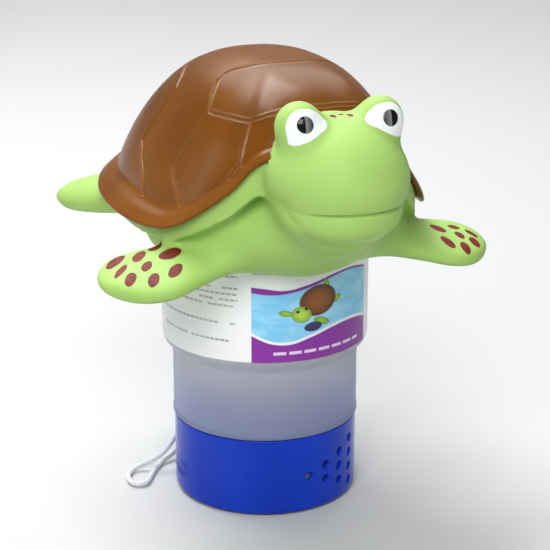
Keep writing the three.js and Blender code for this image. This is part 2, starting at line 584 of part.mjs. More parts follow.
// ---------------------------------------------------------------- assembly
const group = new THREE.Group();
group.name = 'turtle_tablet_dispenser';
function put(name, geometry, color, options = {}) {
  const g = geometry.clone();
  g.computeVertexNormals();
  const mesh = new THREE.Mesh(g, new THREE.MeshStandardMaterial({ name, color, ...options }));
  mesh.name = name;
  group.add(mesh);
}
put('canister', cupGeo, 0xc8ccd2, { roughness: 0.4, transparent: true, opacity: 0.6 });
put('flow_ring', ringGeo, 0x1432b4, { roughness: 0.25 });
put('label', labelGeo, 0xeeeef2, { roughness: 0.5 });
put('seal_ring', sealGeo, 0xe8e8e6, { roughness: 0.7 });
put('float_plug', plugGeo, 0xd9dcdf, { roughness: 0.5 });
put('turtle_body', bodyGeo, 0xa6d86a, { roughness: 0.6 });
put('carapace', cleaned(carapaceGeo), 0x8a5523, { roughness: 0.3 });
put('eye_white_left', whiteGeo, 0xf4f6f6, { roughness: 0.3 });
put('eye_white_right', cleaned(mirrored(whiteGeo)), 0xf4f6f6, { roughness: 0.3 });
put('pupil_left', pupilGeo, 0x101012, { roughness: 0.15 });
put('pupil_right', cleaned(mirrored(pupilGeo)), 0x101012, { roughness: 0.15 });
put('tether_loop', tetherGeo, 0xe6e8ec, { roughness: 0.6 });

export default group;
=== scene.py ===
import math
import bpy
import bmesh
import numpy as np
from mathutils import Vector, Matrix
from mathutils.kdtree import KDTree


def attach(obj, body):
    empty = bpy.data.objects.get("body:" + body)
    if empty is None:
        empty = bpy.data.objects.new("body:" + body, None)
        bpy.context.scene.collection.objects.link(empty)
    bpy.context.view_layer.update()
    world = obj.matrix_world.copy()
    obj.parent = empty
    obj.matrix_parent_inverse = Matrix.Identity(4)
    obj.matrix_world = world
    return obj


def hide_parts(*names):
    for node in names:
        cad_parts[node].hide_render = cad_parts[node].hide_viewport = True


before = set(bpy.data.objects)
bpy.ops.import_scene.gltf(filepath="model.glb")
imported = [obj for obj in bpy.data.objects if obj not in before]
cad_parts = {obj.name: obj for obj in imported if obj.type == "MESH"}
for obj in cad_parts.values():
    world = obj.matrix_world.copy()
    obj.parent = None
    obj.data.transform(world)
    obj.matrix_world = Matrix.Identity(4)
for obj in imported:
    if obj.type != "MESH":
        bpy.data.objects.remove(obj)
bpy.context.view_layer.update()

rng = np.random.default_rng(7)
scene = bpy.context.scene
scene.view_settings.view_transform = "Standard"
scene.view_settings.look = "None"

# ------------------------------------------------------------------ dimensions shared with the CAD
R_FOOT, R_CUP, R_COLLAR, WALL = 41.6, 45.0, 49.4, 2.0
Z_RING_TOP, Z_STEP0, Z_STEP1, Z_RIM = 38.9, 73.7, 79.4, 129.0
LEDGE_R, LEDGE_Z0, LEDGE_Z1 = 44.6, 124.3, 126.5
BAYONET, NOTCH_HALF, LUG_HALF = (90, 210, 330), 11, 8
WINDOW_A0, WINDOW_A1, WINDOW_Z0, WINDOW_Z1 = -74.2, -41.8, 7.0, 30.0
RING_RI, RING_RO = 42.1, 44.7
HOLE_R, HOLE_PITCH, HOLE_A0 = 2.2, 12.8, -82.7
HOLE_COLS = [[18.5], [22.2, 14.8], [26.0, 18.5, 11.0], [29.6, 22.2, 14.8, 7.4]]
LABEL_RI, LABEL_RO, LABEL_Z0, LABEL_Z1 = 49.7, 50.0, 80.6, 127.4
SOCKET_R, SOCKET_Z = 50.8, 134.3
YC, A_FRONT, A_REAR, B_SIDE, PLAN_N = 11.08, 98.9, 98.4, 73.4, 2.187
APEX_Z, APEX_Y, DOME_P1, DOME_P2, DROP = 218.1, -9.5, 2.717, 0.857, 0.738
SHELL_T = 2.4
CORD_D, LUG_ANGLE, LUG_R, LUG_Z = 2.6, 118, 48.6, 44.0
TETHER = [
    [-23.1, 42.8, 44.0], [-25.9, 41.4, 44.0], [-28.8, 40.5, 42.9], [-30.7, 39.2, 39.0], [-31.2, 37.2, 32.0],
    [-31.7, 35.9, 25.0], [-34.0, 34.6, 18.0], [-39.0, 30.6, 13.6], [-43.9, 28.2, 9.8], [-48.6, 28.6, 6.4],
    [-53.1, 30.3, 3.8], [-57.6, 30.6, 2.2], [-61.6, 28.4, 1.5], [-64.3, 24.3, 1.42], [-65.6, 19.8, 1.42],
    [-65.5, 15.8, 1.42], [-64.3, 12.9, 1.42], [-61.9, 11.6, 1.42], [-59.2, 12.0, 1.42], [-57.2, 14.1, 1.42],
    [-54.9, 17.9, 1.42], [-50.9, 24.7, 1.42], [-46.0, 31.2, 1.5], [-41.9, 34.9, 2.0], [-37.6, 37.3, 3.0],
    [-33.6, 39.8, 4.8], [-30.0, 42.6, 8.0], [-26.6, 45.6, 13.0], [-23.4, 47.9, 19.5], [-20.6, 49.0, 27.5],
    [-18.3, 48.6, 35.5], [-17.9, 47.4, 40.3], [-18.9, 45.5, 43.2], [-20.8, 44.0, 44.1], [-22.5, 43.1, 44.0],
]

# ------------------------------------------------------------------ camera
def make_camera():
    a, e = math.radians(-21.0), math.radians(17.92)
    back = Vector((math.sin(a) * math.cos(e), -math.cos(a) * math.cos(e), math.sin(e)))
    right = Vector((math.cos(a), math.sin(a), 0))
    target = right * 4.98e-3 + Vector((0, 0, 107.03e-3))
    data = bpy.data.cameras.new("camera")
    data.sensor_fit = "AUTO"
    data.sensor_width = 36.0
    data.lens = 1625.8 * 36.0 / 550.0
    data.clip_start, data.clip_end = 0.05, 60
    cam = bpy.data.objects.new("camera", data)
    scene.collection.objects.link(cam)
    up = back.cross(right)
    cam.matrix_world = Matrix((
        (right.x, up.x, back.x, 0), (right.y, up.y, back.y, 0), (right.z, up.z, back.z, 0), (0, 0, 0, 1)))
    cam.location = target + back * 0.7869
    scene.camera = cam


make_camera()


# ------------------------------------------------------------------ small maths
def curve(x, xs, ys):
    xs, ys = np.asarray(xs, float), np.asarray(ys, float)
    m = np.empty(len(xs))
    m[0] = (ys[1] - ys[0]) / (xs[1] - xs[0])
    m[-1] = (ys[-1] - ys[-2]) / (xs[-1] - xs[-2])
    m[1:-1] = (ys[2:] - ys[:-2]) / (xs[2:] - xs[:-2])
    v = np.clip(x, xs[0], xs[-1])
    i = np.clip(np.searchsorted(xs, v, side="right") - 1, 0, len(xs) - 2)
    h = xs[i + 1] - xs[i]
    t = (v - xs[i]) / h
    return ((1 + 2 * t) * (1 - t) ** 2 * ys[i] + t * (1 - t) ** 2 * h * m[i]
            + t * t * (3 - 2 * t) * ys[i + 1] + t * t * (t - 1) * h * m[i + 1])


def smooth(x, a, b):
    t = np.clip((x - a) / (b - a), 0, 1)
    return t * t * (3 - 2 * t)


def smin(a, b, k):
    h = np.clip(0.5 + 0.5 * (b - a) / k, 0, 1)
    return b + (a - b) * h - k * h * (1 - h)


def ell(p, c, r):
    q = p - np.array(c, float)
    r = np.array(r, float)
    k0 = np.sqrt(((q / r) ** 2).sum(-1))
    k1 = np.sqrt(((q / r ** 2) ** 2).sum(-1))
    return k0 * (k0 - 1) / np.maximum(k1, 1e-9)


def round_cone(p, a, b, r1, r2):
    a, b = np.array(a, float), np.array(b, float)
    ba = b - a
    t = np.clip(((p - a) @ ba) / (ba @ ba), 0, 1)
    return np.linalg.norm(p - a - t[..., None] * ba, axis=-1) - (r1 + (r2 - r1) * t)


US = [0, 0.25, 0.45, 0.65, 0.85, 1.0]


def paddle(S, T, across, lead, trail, thick, sweep, droop):
    S, T, across = (np.array(v, float) for v in (S, T, across))
    L = np.linalg.norm(T - S)
    U = (T - S) / L
    V = across - U * (across @ U)
    V /= np.linalg.norm(V)
    W = np.cross(U, V)
    if W[2] < 0:
        W = -W
    pw = 2.4

    def f(p):
        q = p - S
        u = q @ U
        s = np.clip(u / L, 0, 1)
        bow = np.sin(np.pi * s)
        v, w = q @ V - sweep * bow, q @ W - droop * bow
        e = np.clip((s - 0.52) / 0.48, 0, 1)
        k = np.maximum(1 - e ** 2.3, 1e-4) ** 0.5
        c = np.where(v > 0, curve(s, US, trail), curve(s, US, lead)) * np.maximum(k, 0.06)
        t = curve(s, US, thick) * np.maximum(1 - e ** 4.5, 0.02) ** 0.45
        a, b = np.abs(v) / c, np.abs(w) / t
        ff = (a ** pw + b ** pw) ** (1 / pw)
        g = np.sqrt((a ** (pw - 1) / c) ** 2 + (b ** (pw - 1) / t) ** 2) / np.maximum(ff, 1e-9) ** (pw - 1)
        d = np.clip((ff - 1) / np.maximum(g, 1e-6), -12, 60)
        return np.maximum(d, np.maximum(u - L, -(u + 0.2 * L)))
    return f


front_flipper = paddle([30, -40, 141], [93.6, -45.6, 126.2], [0, 1, 0.17],
                       [20, 21, 23, 26, 26, 23], [18, 13.5, 14.5, 19, 22, 22], [10.5, 8, 6.4, 5.9, 6.1, 6], -2, -1.3)
hind_flipper = paddle([40, 55, 141], [76.8, 99.6, 129.3], [-0.75, 0.6, 0.45],
                      [15, 15.5, 15.5, 14, 12, 9.5], [12, 11, 10, 9.5, 9, 8], [11, 9, 7.5, 6.5, 5.7, 5], 0, 1)
EYE_C = np.array([19.3, -87, 200.0])


def head_field(p, q):
    h = ell(p, (0, -84, 178), (30.4, 32, 26))
    h = smin(h, ell(p, (0, -97, 178), (25.4, 22.5, 17.5)), 8)
    h = smin(h, ell(p, (0, -92.5, 162.5), (26, 23.5, 12.5)), 5)
    return smin(h, ell(q, (18.3, -89, 200.5), (10.3, 9.8, 10.6)), 7)


def sculpt(p):
    q = p.copy()
    q[..., 0] = np.abs(q[..., 0])
    d = smin(ell(p, (0, 12, 148), (60, 84, 23)), ell(p, (0, -44, 148.5), (46, 36, 22.5)), 12)
    br, bz = np.hypot(p[..., 0], p[..., 1]) - 50.5, np.abs(p[..., 2] - 143) - 11
    boss = np.minimum(np.maximum(br, bz), 0) + np.hypot(np.maximum(br, 0), np.maximum(bz, 0)) - 6
    d = smin(d, boss, 6)
    d = smin(d, round_cone(p, (0, -50, 153), (0, -84, 166), 26, 25), 12)
    d = smin(d, front_flipper(q), 10)
    d = smin(d, hind_flipper(q), 8)
    return smin(d, head_field(p, q), 5)


# ------------------------------------------------------------------ carapace surface
def plan_r(t):
    c = np.abs(np.cos(t) / B_SIDE)
    s = np.abs(np.sin(t) / np.where(np.sin(t) > 0, A_REAR, A_FRONT))
    return (c ** PLAN_N + s ** PLAN_N) ** (-1 / PLAN_N)


def rim_y(t):
    return plan_r(t) * np.sin(t) + YC


def rim_z(t):
    return 1.0 + curve(rim_y(t), [-88, -80, -73, -63, -50, -35, 0, 40, 80, 112],
                       [189, 183, 171, 160.5, 151.5, 147, 145.5, 146, 148, 151])


def flange_w(t):
    return curve(rim_y(t), [-90, -70, -45, 0, 60, 112], [5, 6, 8.5, 11, 11, 10])


def shell_rz(t, s):
    fw = flange_w(t)
    rf, zf = plan_r(t) - fw, rim_z(t) + fw * DROP
    sd, sf = np.clip(s, 0, 1), np.clip(s - 1, 0, 1)
    z = zf + (APEX_Z - zf) * np.maximum(1 - sd ** DOME_P1, 0) ** DOME_P2 - fw * DROP * sf
    return sd * rf + sf * fw, z, YC + (APEX_Y - YC) * (1 - sd * sd)


def shell_point(t, s, depth=0.0):
    """Points of the shell moved inwards by depth, and the outward normal and the tangent down the section."""
    e = 0.004
    s = s + 0 * t
    a, b, c = shell_rz(t, np.maximum(s - e, 0.0005)), shell_rz(t, np.minimum(s + e, 2)), shell_rz(t, s)
    dr, dz = b[0] - a[0] + (b[2] - a[2]) * np.sin(t), b[1] - a[1]
    l = np.hypot(dr, dz)
    dr, dz = dr / l, dz / l
    r, z = c[0] + dz * depth, c[1] - dr * depth
    p = np.stack([r * np.cos(t), c[2] + r * np.sin(t), z], -1)
    n = np.stack([-dz * np.cos(t), -dz * np.sin(t), dr], -1)
    d = np.stack([dr * np.cos(t), dr * np.sin(t), dz], -1)
    return p, n, d


def shell_from_xy(x, y):
    """(t, s) of the shell above a plan point."""
    x, y = np.asarray(x, float), np.asarray(y, float)
    s = np.full_like(x, 0.5)
    for _ in range(60):
        cy = YC + (APEX_Y - YC) * (1 - np.clip(s, 0, 1) ** 2)
        t, r = np.arctan2(y - cy, x), np.hypot(x, y - cy)
        fw = flange_w(t)
        rf = plan_r(t) - fw
        s = 0.5 * s + 0.5 * np.where(r < rf, r / rf, 1 + (r - rf) / fw)
    return t, s


# ------------------------------------------------------------------ mesh helpers
def mesh_from(name, V, F):
    """A Blender mesh from points in millimetres and a list of faces, or several face arrays."""
    me = bpy.data.meshes.new(name)
    V = np.asarray(V, float) * 1e-3
    groups = F if isinstance(F, list) and len(F) and isinstance(F[0], np.ndarray) and F[0].ndim == 2 else None
    if groups is None:
        me.from_pydata(V.tolist(), [], [list(map(int, f)) for f in F])
    else:
        sizes = np.concatenate([np.full(len(g), g.shape[1]) for g in groups])
        loops = np.concatenate([g.ravel() for g in groups]).astype(np.int32)
        me.vertices.add(len(V))
        me.vertices.foreach_set("co", V.astype(np.float32).ravel())
        me.loops.add(len(loops))
        me.loops.foreach_set("vertex_index", loops)
        me.polygons.add(len(sizes))
        me.polygons.foreach_set("loop_start", np.concatenate([[0], np.cumsum(sizes)[:-1]]).astype(np.int32))
        me.update(calc_edges=True)
    me.validate()
    return me


def put(name, me, mat, body, nodes=(), angle=None):
    me.shade_smooth()
    if angle is not None:
        me.set_sharp_from_angle(angle=math.radians(angle))
    o = bpy.data.objects.new(name, me)
    scene.collection.objects.link(o)
    me.materials.clear()
    me.materials.append(mat)
    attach(o, body)
    if nodes:
        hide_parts(*nodes)
    return o


def temp_obj(me):
    o = bpy.data.objects.new("tool_tmp", me)
    scene.collection.objects.link(o)
    return o


def boolean(me, tools, op):
    """me cut by or joined with each tool mesh in turn."""
    o = temp_obj(me)
    made = []
    for k, t in enumerate(tools):
        tool = temp_obj(t)
        made.append(tool)
        m = o.modifiers.new(f"b{k}", "BOOLEAN")
        m.operation, m.object, m.solver = op, tool, "EXACT"
    dg = bpy.context.evaluated_depsgraph_get()
    out = bpy.data.meshes.new_from_object(o.evaluated_get(dg))
    for x in made + [o]:
        d = x.data
        bpy.data.objects.remove(x)
        bpy.data.meshes.remove(d)
    return out


def rounded(points, n=4):
    """Corners (r, z, radius) become arcs of n steps."""
    out = []
    N = len(points)
    for i in range(N):
        p = np.array(points[i][:2], float)
        rad = points[i][2] if len(points[i]) > 2 else 0
        if rad <= 0 or i in (0, N - 1):
            out.append(tuple(p))
            continue
        a, b = np.array(points[i - 1][:2], float), np.array(points[i + 1][:2], float)
        ua, ub = a - p, b - p
        la, lb = np.linalg.norm(ua), np.linalg.norm(ub)
        ua, ub = ua / la, ub / lb
        ang = math.acos(max(-1, min(1, float(ua @ ub))))
        cut = min(rad / math.tan(ang / 2), la * 0.48, lb * 0.48)
        for k in range(n + 1):
            t = k / n
            q = (1 - t) ** 2 * (p + ua * cut) + 2 * t * (1 - t) * p + t * t * (p + ub * cut)
            out.append(tuple(q))
    return out


def densify(profile, step):
    out = []
    for a, b in zip(profile[:-1], profile[1:]):
        a, b = np.array(a), np.array(b)
        n = max(1, int(round(np.linalg.norm(b - a) / step)))
        for k in range(n):
            out.append(tuple(a + (b - a) * k / n))
    out.append(tuple(profile[-1]))
    return out


def lathe(name, profile, seg):
    """Closed (r, z) profile turned about +Z. A profile from axis to axis makes a closed body; a looped one a ring."""
    ang = 2 * np.pi * np.arange(seg) / seg
    c, s = np.cos(ang), np.sin(ang)
    V, rows = [], []
    looped = profile[0][0] > 1e-6
    pts = profile[:-1] if looped and np.allclose(profile[0], profile[-1]) else profile
    for r, z in pts:
        if r < 1e-6:
            rows.append(len(V))
            V.append((0, 0, z))
        else:
            rows.append(np.arange(seg) + len(V))
            V.extend(np.stack([r * c, r * s, np.full(seg, z)], -1).tolist())
    F = []
    n = len(pts)
    for i in range(n if looped else n - 1):
        a, b = rows[i], rows[(i + 1) % n]
        ai, bi = not np.isscalar(a) and not isinstance(a, int), not np.isscalar(b) and not isinstance(b, int)
        for k in range(seg):
            l = (k + 1) % seg
            if ai and bi:
                F.append((a[k], a[l], b[l], b[k]))
            elif ai:
                F.append((a[k], a[l], b))
            elif bi:
                F.append((a, b[l], b[k]))
    me = mesh_from(name, V, F)
    outwards(me)
    return me


def outwards(me):
    bm = bmesh.new()
    bm.from_mesh(me)
    bmesh.ops.recalc_face_normals(bm, faces=bm.faces)
    if bm.calc_volume(signed=True) < 0:
        bmesh.ops.reverse_faces(bm, faces=bm.faces)
    bm.to_mesh(me)
    bm.free()


def sector(r0, r1, z0, z1, a0, a1, n):
    V, F = [], []
    for i in range(n + 1):
        a = math.radians(a0 + (a1 - a0) * i / n)
        for r, z in ((r0, z0), (r1, z0), (r1, z1), (r0, z1)):
            V.append((r * math.cos(a), r * math.sin(a), z))
    for i in range(n):
        for k in range(4):
            a, b = i * 4 + k, i * 4 + (k + 1) % 4
            F.append((a, b, b + 4, a + 4))
    F.append((3, 2, 1, 0))
    e = n * 4
    F.append((e, e + 1, e + 2, e + 3))
    me = mesh_from("sector", V, F)
    outwards(me)
    return me


def surface_nets(f, lo, h):
    nx, ny, nz = f.shape
    inside = f < 0
    c = np.zeros((nx - 1, ny - 1, nz - 1), np.uint8)
    corners = [(0, 0, 0), (1, 0, 0), (0, 1, 0), (1, 1, 0), (0, 0, 1), (1, 0, 1), (0, 1, 1), (1, 1, 1)]
    for i, (a, b, d) in enumerate(corners):
        c |= inside[a:nx - 1 + a, b:ny - 1 + b, d:nz - 1 + d].astype(np.uint8) << i
    act = np.argwhere((c != 0) & (c != 255))
    idx = -np.ones(c.shape, np.int64)
    idx[tuple(act.T)] = np.arange(len(act))
    acc, cnt = np.zeros((len(act), 3)), np.zeros(len(act))
    cv = np.array(corners)
    vals = np.stack([f[act[:, 0] + a, act[:, 1] + b, act[:, 2] + d] for a, b, d in corners], 1)
    for a, b in ((0, 1), (2, 3), (4, 5), (6, 7), (0, 2), (1, 3), (4, 6), (5, 7), (0, 4), (1, 5), (2, 6), (3, 7)):
        va, vb = vals[:, a], vals[:, b]
        m = (va < 0) != (vb < 0)
        t = np.where(m, va / (va - vb + 1e-30), 0)
        acc[m] += (cv[a] + t[:, None] * (cv[b] - cv[a]))[m]
        cnt[m] += 1
    V = lo + (act + acc / cnt[:, None]) * h
    F = []
    for ax in range(3):
        s1, s2 = [slice(None)] * 3, [slice(None)] * 3
        s1[ax], s2[ax] = slice(0, -1), slice(1, None)
        a, b = inside[tuple(s1)], inside[tuple(s2)]
        e = np.argwhere(a != b)
        u, v = [(1, 2), (2, 0), (0, 1)][ax]
        e = e[(e[:, u] > 0) & (e[:, v] > 0) & (e[:, u] < f.shape[u] - 1) & (e[:, v] < f.shape[v] - 1)]
        sign = a[tuple(e.T)]

        def cell(du, dv):
            q = e.copy()
            q[:, u] -= du
            q[:, v] -= dv
            return idx[tuple(q.T)]
        quad = np.stack([cell(1, 1), cell(0, 1), cell(0, 0), cell(1, 0)], 1)
        quad[~sign] = quad[~sign][:, ::-1]
        F.append(quad)
    return V, np.concatenate(F)


# ------------------------------------------------------------------ node helpers
def lin(*rgb):
    return tuple((c / 255 / 12.92) if c / 255 <= 0.04045 else ((c / 255 + 0.055) / 1.055) ** 2.4 for c in rgb)


class Nodes:
    def __init__(self, name):
        self.mat = bpy.data.materials.new(name)
        self.mat.use_nodes = True
        self.nt = self.mat.node_tree
        self.nt.nodes.clear()
        self.out = self.nt.nodes.new("ShaderNodeOutputMaterial")
        self.bsdf = self.nt.nodes.new("ShaderNodeBsdfPrincipled")
        self.nt.links.new(self.bsdf.outputs[0], self.out.inputs[0])
        self.tc = self.nt.nodes.new("ShaderNodeTexCoord")
        self.obj = self.tc.outputs["Object"]

    def new(self, kind, **kw):
        n = self.nt.nodes.new(kind)
        for k, v in kw.items():
            setattr(n, k, v)
        return n

    def to(self, socket, value):
        if isinstance(value, bpy.types.NodeSocket):
            self.nt.links.new(value, socket)
        elif isinstance(value, (tuple, list)):
            v = tuple(value)
            if socket.type == "RGBA" and len(v) == 3:
                v = v + (1,)
            socket.default_value = v
        else:
            socket.default_value = value

    def math(self, op, a, b=None, c=None, clamp=False):
        n = self.new("ShaderNodeMath", operation=op, use_clamp=clamp)
        for i, v in enumerate((a, b, c)):
            if v is not None:
                self.to(n.inputs[i], v)
        return n.outputs[0]

    def vec(self, op, a, b=None, scale=None):
        n = self.new("ShaderNodeVectorMath", operation=op)
        self.to(n.inputs[0], a)
        if b is not None:
            self.to(n.inputs[1], b)
        if scale is not None:
            self.to(n.inputs["Scale"], scale)
        return n.outputs["Value"] if op in ("LENGTH", "DOT_PRODUCT", "DISTANCE") else n.outputs[0]

    def mix(self, fac, a, b, blend="MIX"):
        n = self.new("ShaderNodeMix", data_type="RGBA", blend_type=blend)
        n.clamp_factor = True
        self.to(n.inputs["Factor"], fac)
        self.to(n.inputs[6], a)
        self.to(n.inputs[7], b)
        return n.outputs[2]

    def mixf(self, fac, a, b):
        n = self.new("ShaderNodeMix", data_type="FLOAT")
        self.to(n.inputs["Factor"], fac)
        self.to(n.inputs[2], a)
        self.to(n.inputs[3], b)
        return n.outputs[0]

    def noise(self, scale, detail=2.0, rough=0.5, vector=None, distortion=0.0):
        n = self.new("ShaderNodeTexNoise")
        self.to(n.inputs["Vector"], vector if vector is not None else self.obj)
        n.inputs["Scale"].default_value = scale
        n.inputs["Detail"].default_value = detail
        n.inputs["Roughness"].default_value = rough
        n.inputs["Distortion"].default_value = distortion
        return n.outputs["Fac"]

    def step(self, x, a, b, lo=0.0, hi=1.0):
        n = self.new("ShaderNodeMapRange", interpolation_type="SMOOTHSTEP")
        self.to(n.inputs[0], x)
        for i, v in ((1, a), (2, b), (3, lo), (4, hi)):
            self.to(n.inputs[i], v)
        return n.outputs[0]

    def line(self, x, a, b, lo=0.0, hi=1.0):
        n = self.new("ShaderNodeMapRange", interpolation_type="LINEAR")
        self.to(n.inputs[0], x)
        for i, v in ((1, a), (2, b), (3, lo), (4, hi)):
            self.to(n.inputs[i], v)
        return n.outputs[0]

    def xyz(self, v):
        n = self.new("ShaderNodeSeparateXYZ")
        self.to(n.inputs[0], v)
        return n.outputs[0], n.outputs[1], n.outputs[2]

    def combine(self, x, y, z):
        n = self.new("ShaderNodeCombineXYZ")
        for i, v in enumerate((x, y, z)):
            self.to(n.inputs[i], v)
        return n.outputs[0]

    def attr(self, name):
        n = self.new("ShaderNodeAttribute", attribute_type="GEOMETRY", attribute_name=name)
        return n.outputs["Fac"]

    def bump(self, height, strength=0.3, distance=0.0005, normal=None):
        n = self.new("ShaderNodeBump")
        n.inputs["Strength"].default_value = strength
        n.inputs["Distance"].default_value = distance
        self.to(n.inputs["Height"], height)
        if normal is not None:
            self.to(n.inputs["Normal"], normal)
        return n.outputs[0]

    def fcurve(self, x, points):
        n = self.new("ShaderNodeFloatCurve")
        c = n.mapping.curves[0]
        while len(c.points) > 2:
            c.points.remove(c.points[1])
        c.points[0].location, c.points[1].location = points[0], points[-1]
        for p in points[1:-1]:
            c.points.new(*p)
        n.mapping.use_clip = False
        n.mapping.update()
        self.to(n.inputs["Value"], x)
        return n.outputs[0]

    def set(self, **kw):
        names = {"color": "Base Color", "rough": "Roughness", "metal": "Metallic", "ior": "IOR", "coat": "Coat Weight",
                 "coat_rough": "Coat Roughness", "normal": "Normal", "trans": "Transmission Weight",
                 "sss": "Subsurface Weight", "sss_r": "Subsurface Radius", "sss_s": "Subsurface Scale",
                 "spec": "Specular IOR Level", "alpha": "Alpha", "sheen": "Sheen Weight"}
        for k, v in kw.items():
            self.to(self.bsdf.inputs[names[k]], v)
        return self.mat


# ------------------------------------------------------------------ tether cord, first of all
def catmull(points, per_mm=2.5):
    P = [np.array(p, float) for p in points]
    P = [2 * P[0] - P[1]] + P + [2 * P[-1] - P[-2]]
    out = []
    for i in range(1, len(P) - 2):
        p0, p1, p2, p3 = P[i - 1:i + 3]
        d0, d1, d2 = (max(np.linalg.norm(b - a) ** 0.5, 1e-4) for a, b in ((p0, p1), (p1, p2), (p2, p3)))
        t1 = ((p1 - p0) / d0 - (p2 - p0) / (d0 + d1) + (p2 - p1) / d1) * d1
        t2 = ((p2 - p1) / d1 - (p3 - p1) / (d1 + d2) + (p3 - p2) / d2) * d1
        n = max(2, int(np.linalg.norm(p2 - p1) * per_mm))
        for k in range(n):
            t = k / n
            out.append(p1 * (2 * t ** 3 - 3 * t ** 2 + 1) + t1 * (t ** 3 - 2 * t ** 2 + t)
                       + p2 * (-2 * t ** 3 + 3 * t ** 2) + t2 * (t ** 3 - t ** 2))
    out.append(P[-2])
    return np.array(out)


def make_cord():
    path = catmull(TETHER)
    n, m = len(path), 24
    tang = np.gradient(path, axis=0)
    tang /= np.linalg.norm(tang, axis=1)[:, None]
    nrm = np.cross(tang[0], (0, 0, 1.0))
    nrm /= np.linalg.norm(nrm)
    run = np.concatenate([[0], np.cumsum(np.linalg.norm(np.diff(path, axis=0), axis=1))])
    th = 2 * np.pi * np.arange(m) / m
    V = []
    lay = []
    for i in range(n):
        if i:
            nrm = nrm - tang[i] * (nrm @ tang[i])
            nrm /= np.linalg.norm(nrm)
        bi = np.cross(tang[i], nrm)
        turn = th - 2 * np.pi * run[i] / 9.0
        strand = np.abs(np.cos(1.5 * turn))            # three laid strands
        r = CORD_D / 2 * (0.93 + 0.07 * strand ** 0.6)
        end = min(run[i], run[-1] - run[i])
        r = r * (0.75 + 0.25 * min(1, end / 0.8))
        V.append(path[i] + r[:, None] * (np.cos(th)[:, None] * nrm + np.sin(th)[:, None] * bi))
        lay.append(strand)
    V = np.concatenate(V)
    a = (np.arange(n - 1)[:, None] * m + np.arange(m)[None, :])
    b = (np.arange(n - 1)[:, None] * m + (np.arange(m)[None, :] + 1) % m)
    quads = np.stack([a, b, b + m, a + m], -1).reshape(-1, 4)
    V = np.concatenate([V, path[:1], path[-1:]])
    k = np.arange(m)
    cap0 = np.stack([np.full(m, n * m), (k + 1) % m, k], 1)
    cap1 = np.stack([np.full(m, n * m + 1), (n - 1) * m + k, (n - 1) * m + (k + 1) % m], 1)
    me = mesh_from("tether_cord", V, [quads, np.concatenate([cap0, cap1])])
    outwards(me)
    at = me.attributes.new("strand", "FLOAT", "POINT")
    at.data.foreach_set("value", np.concatenate([np.concatenate(lay), [1, 1]]).astype(np.float32))
    N = Nodes("cord_nylon")
    strand = N.attr("strand")
    fuzz = N.noise(2600, 3, 0.6)
    base = N.mix(N.step(strand, 0.0, 0.7), lin(196, 197, 200), lin(212, 213, 215))
    base = N.mix(N.math("MULTIPLY", fuzz, 0.15), base, lin(200, 201, 204))
    N.set(color=base, rough=N.line(fuzz, 0.3, 0.7, 0.5, 0.72), normal=N.bump(fuzz, 0.35, 0.0002), sheen=0.25)
    o = put("tether_cord", me, N.mat, "canister", ["tether_loop"])
    return run[-1]


cord_length = make_cord()

# ------------------------------------------------------------------ carapace
# seams between the scutes, plan points on the -X half; the +X half mirrors them. (points, strength)
V1C = (-39.4, -34.6)
SEAMS = [
    ([(0, -35.8), (-5, -35.2), (-11, -33), (-18, -29), (-24, -24.2), (-28, -22.6), (-31.4, -23.6), (-35, -28), V1C], 1.0),
    ([V1C, (-38.3, -40), (-36, -48), (-33, -56), (-30, -63)], 1.0),
    ([(-30, -63), (-26.5, -67.0), (-21.4, -69.6), (-10, -72.6), (0, -73.6)], 1.1),
    ([(-30, -63), (-32.7, -66), (-36.8, -69.4)], 1.2),
    ([(-36.8, -69.4), (-41.4, -66.2), (-47.6, -62.7)], 1.1),
    ([(-36.8, -69.4), (-35.9, -74.9)], 1.0),
    ([V1C, (-43, -32.6), (-46.8, -31), (-51, -28.6), (-54.0, -26.6), (-55.2, -29.6), (-55.5, -35), (-55.6, -43)], 1.0),
    ([(-40.5, 7.5), (-45.3, 8.8), (-50.6, 10.8), (-55.2, 15.6), (-58.2, 6.5), (-60.6, -4), (-63.6, -10.5)], 1.0),
    ([(-28, -22.6), (-33, -11), (-37.5, -1), (-40.5, 7.5)], 0.08),
    ([(-40.5, 7.5), (-36, 13), (-30, 24), (-25, 35)], 0.9),
    ([(-25, 35), (-14, 38.6), (0, 39.6)], 1.0),
    ([(-25, 35), (-30, 45), (-33.5, 53)], 0.9),
    ([(-33.5, 53), (-40, 56.5), (-46, 61.5), (-47.5, 66), (-48.5, 72)], 1.0),
    ([(-33.5, 53), (-27, 63), (-20, 73)], 0.9),
    ([(-20, 73), (-10, 75.6), (0, 76.4)], 1.0),
    ([(-20, 73), (-22.5, 82), (-25.5, 93)], 1.0),
]


def seam_samples():
    pts, strength = [], []
    for line, w in SEAMS:
        L = np.array(line, float)
        for mirror in (1, -1):
            for a, b in zip(L[:-1], L[1:]):
                n = max(2, int(np.linalg.norm(b - a) / 0.12))
                q = a + (b - a) * (np.arange(n) / n)[:, None]
                t, s = shell_from_xy(q[:, 0] * mirror, q[:, 1])
                ok = s < 1.0
                if ok.any():
                    p, _, _ = shell_point(t[ok], s[ok])
                    pts.append(p)
                    strength.append(np.full(len(p), w))
    return np.concatenate(pts), np.concatenate(strength)


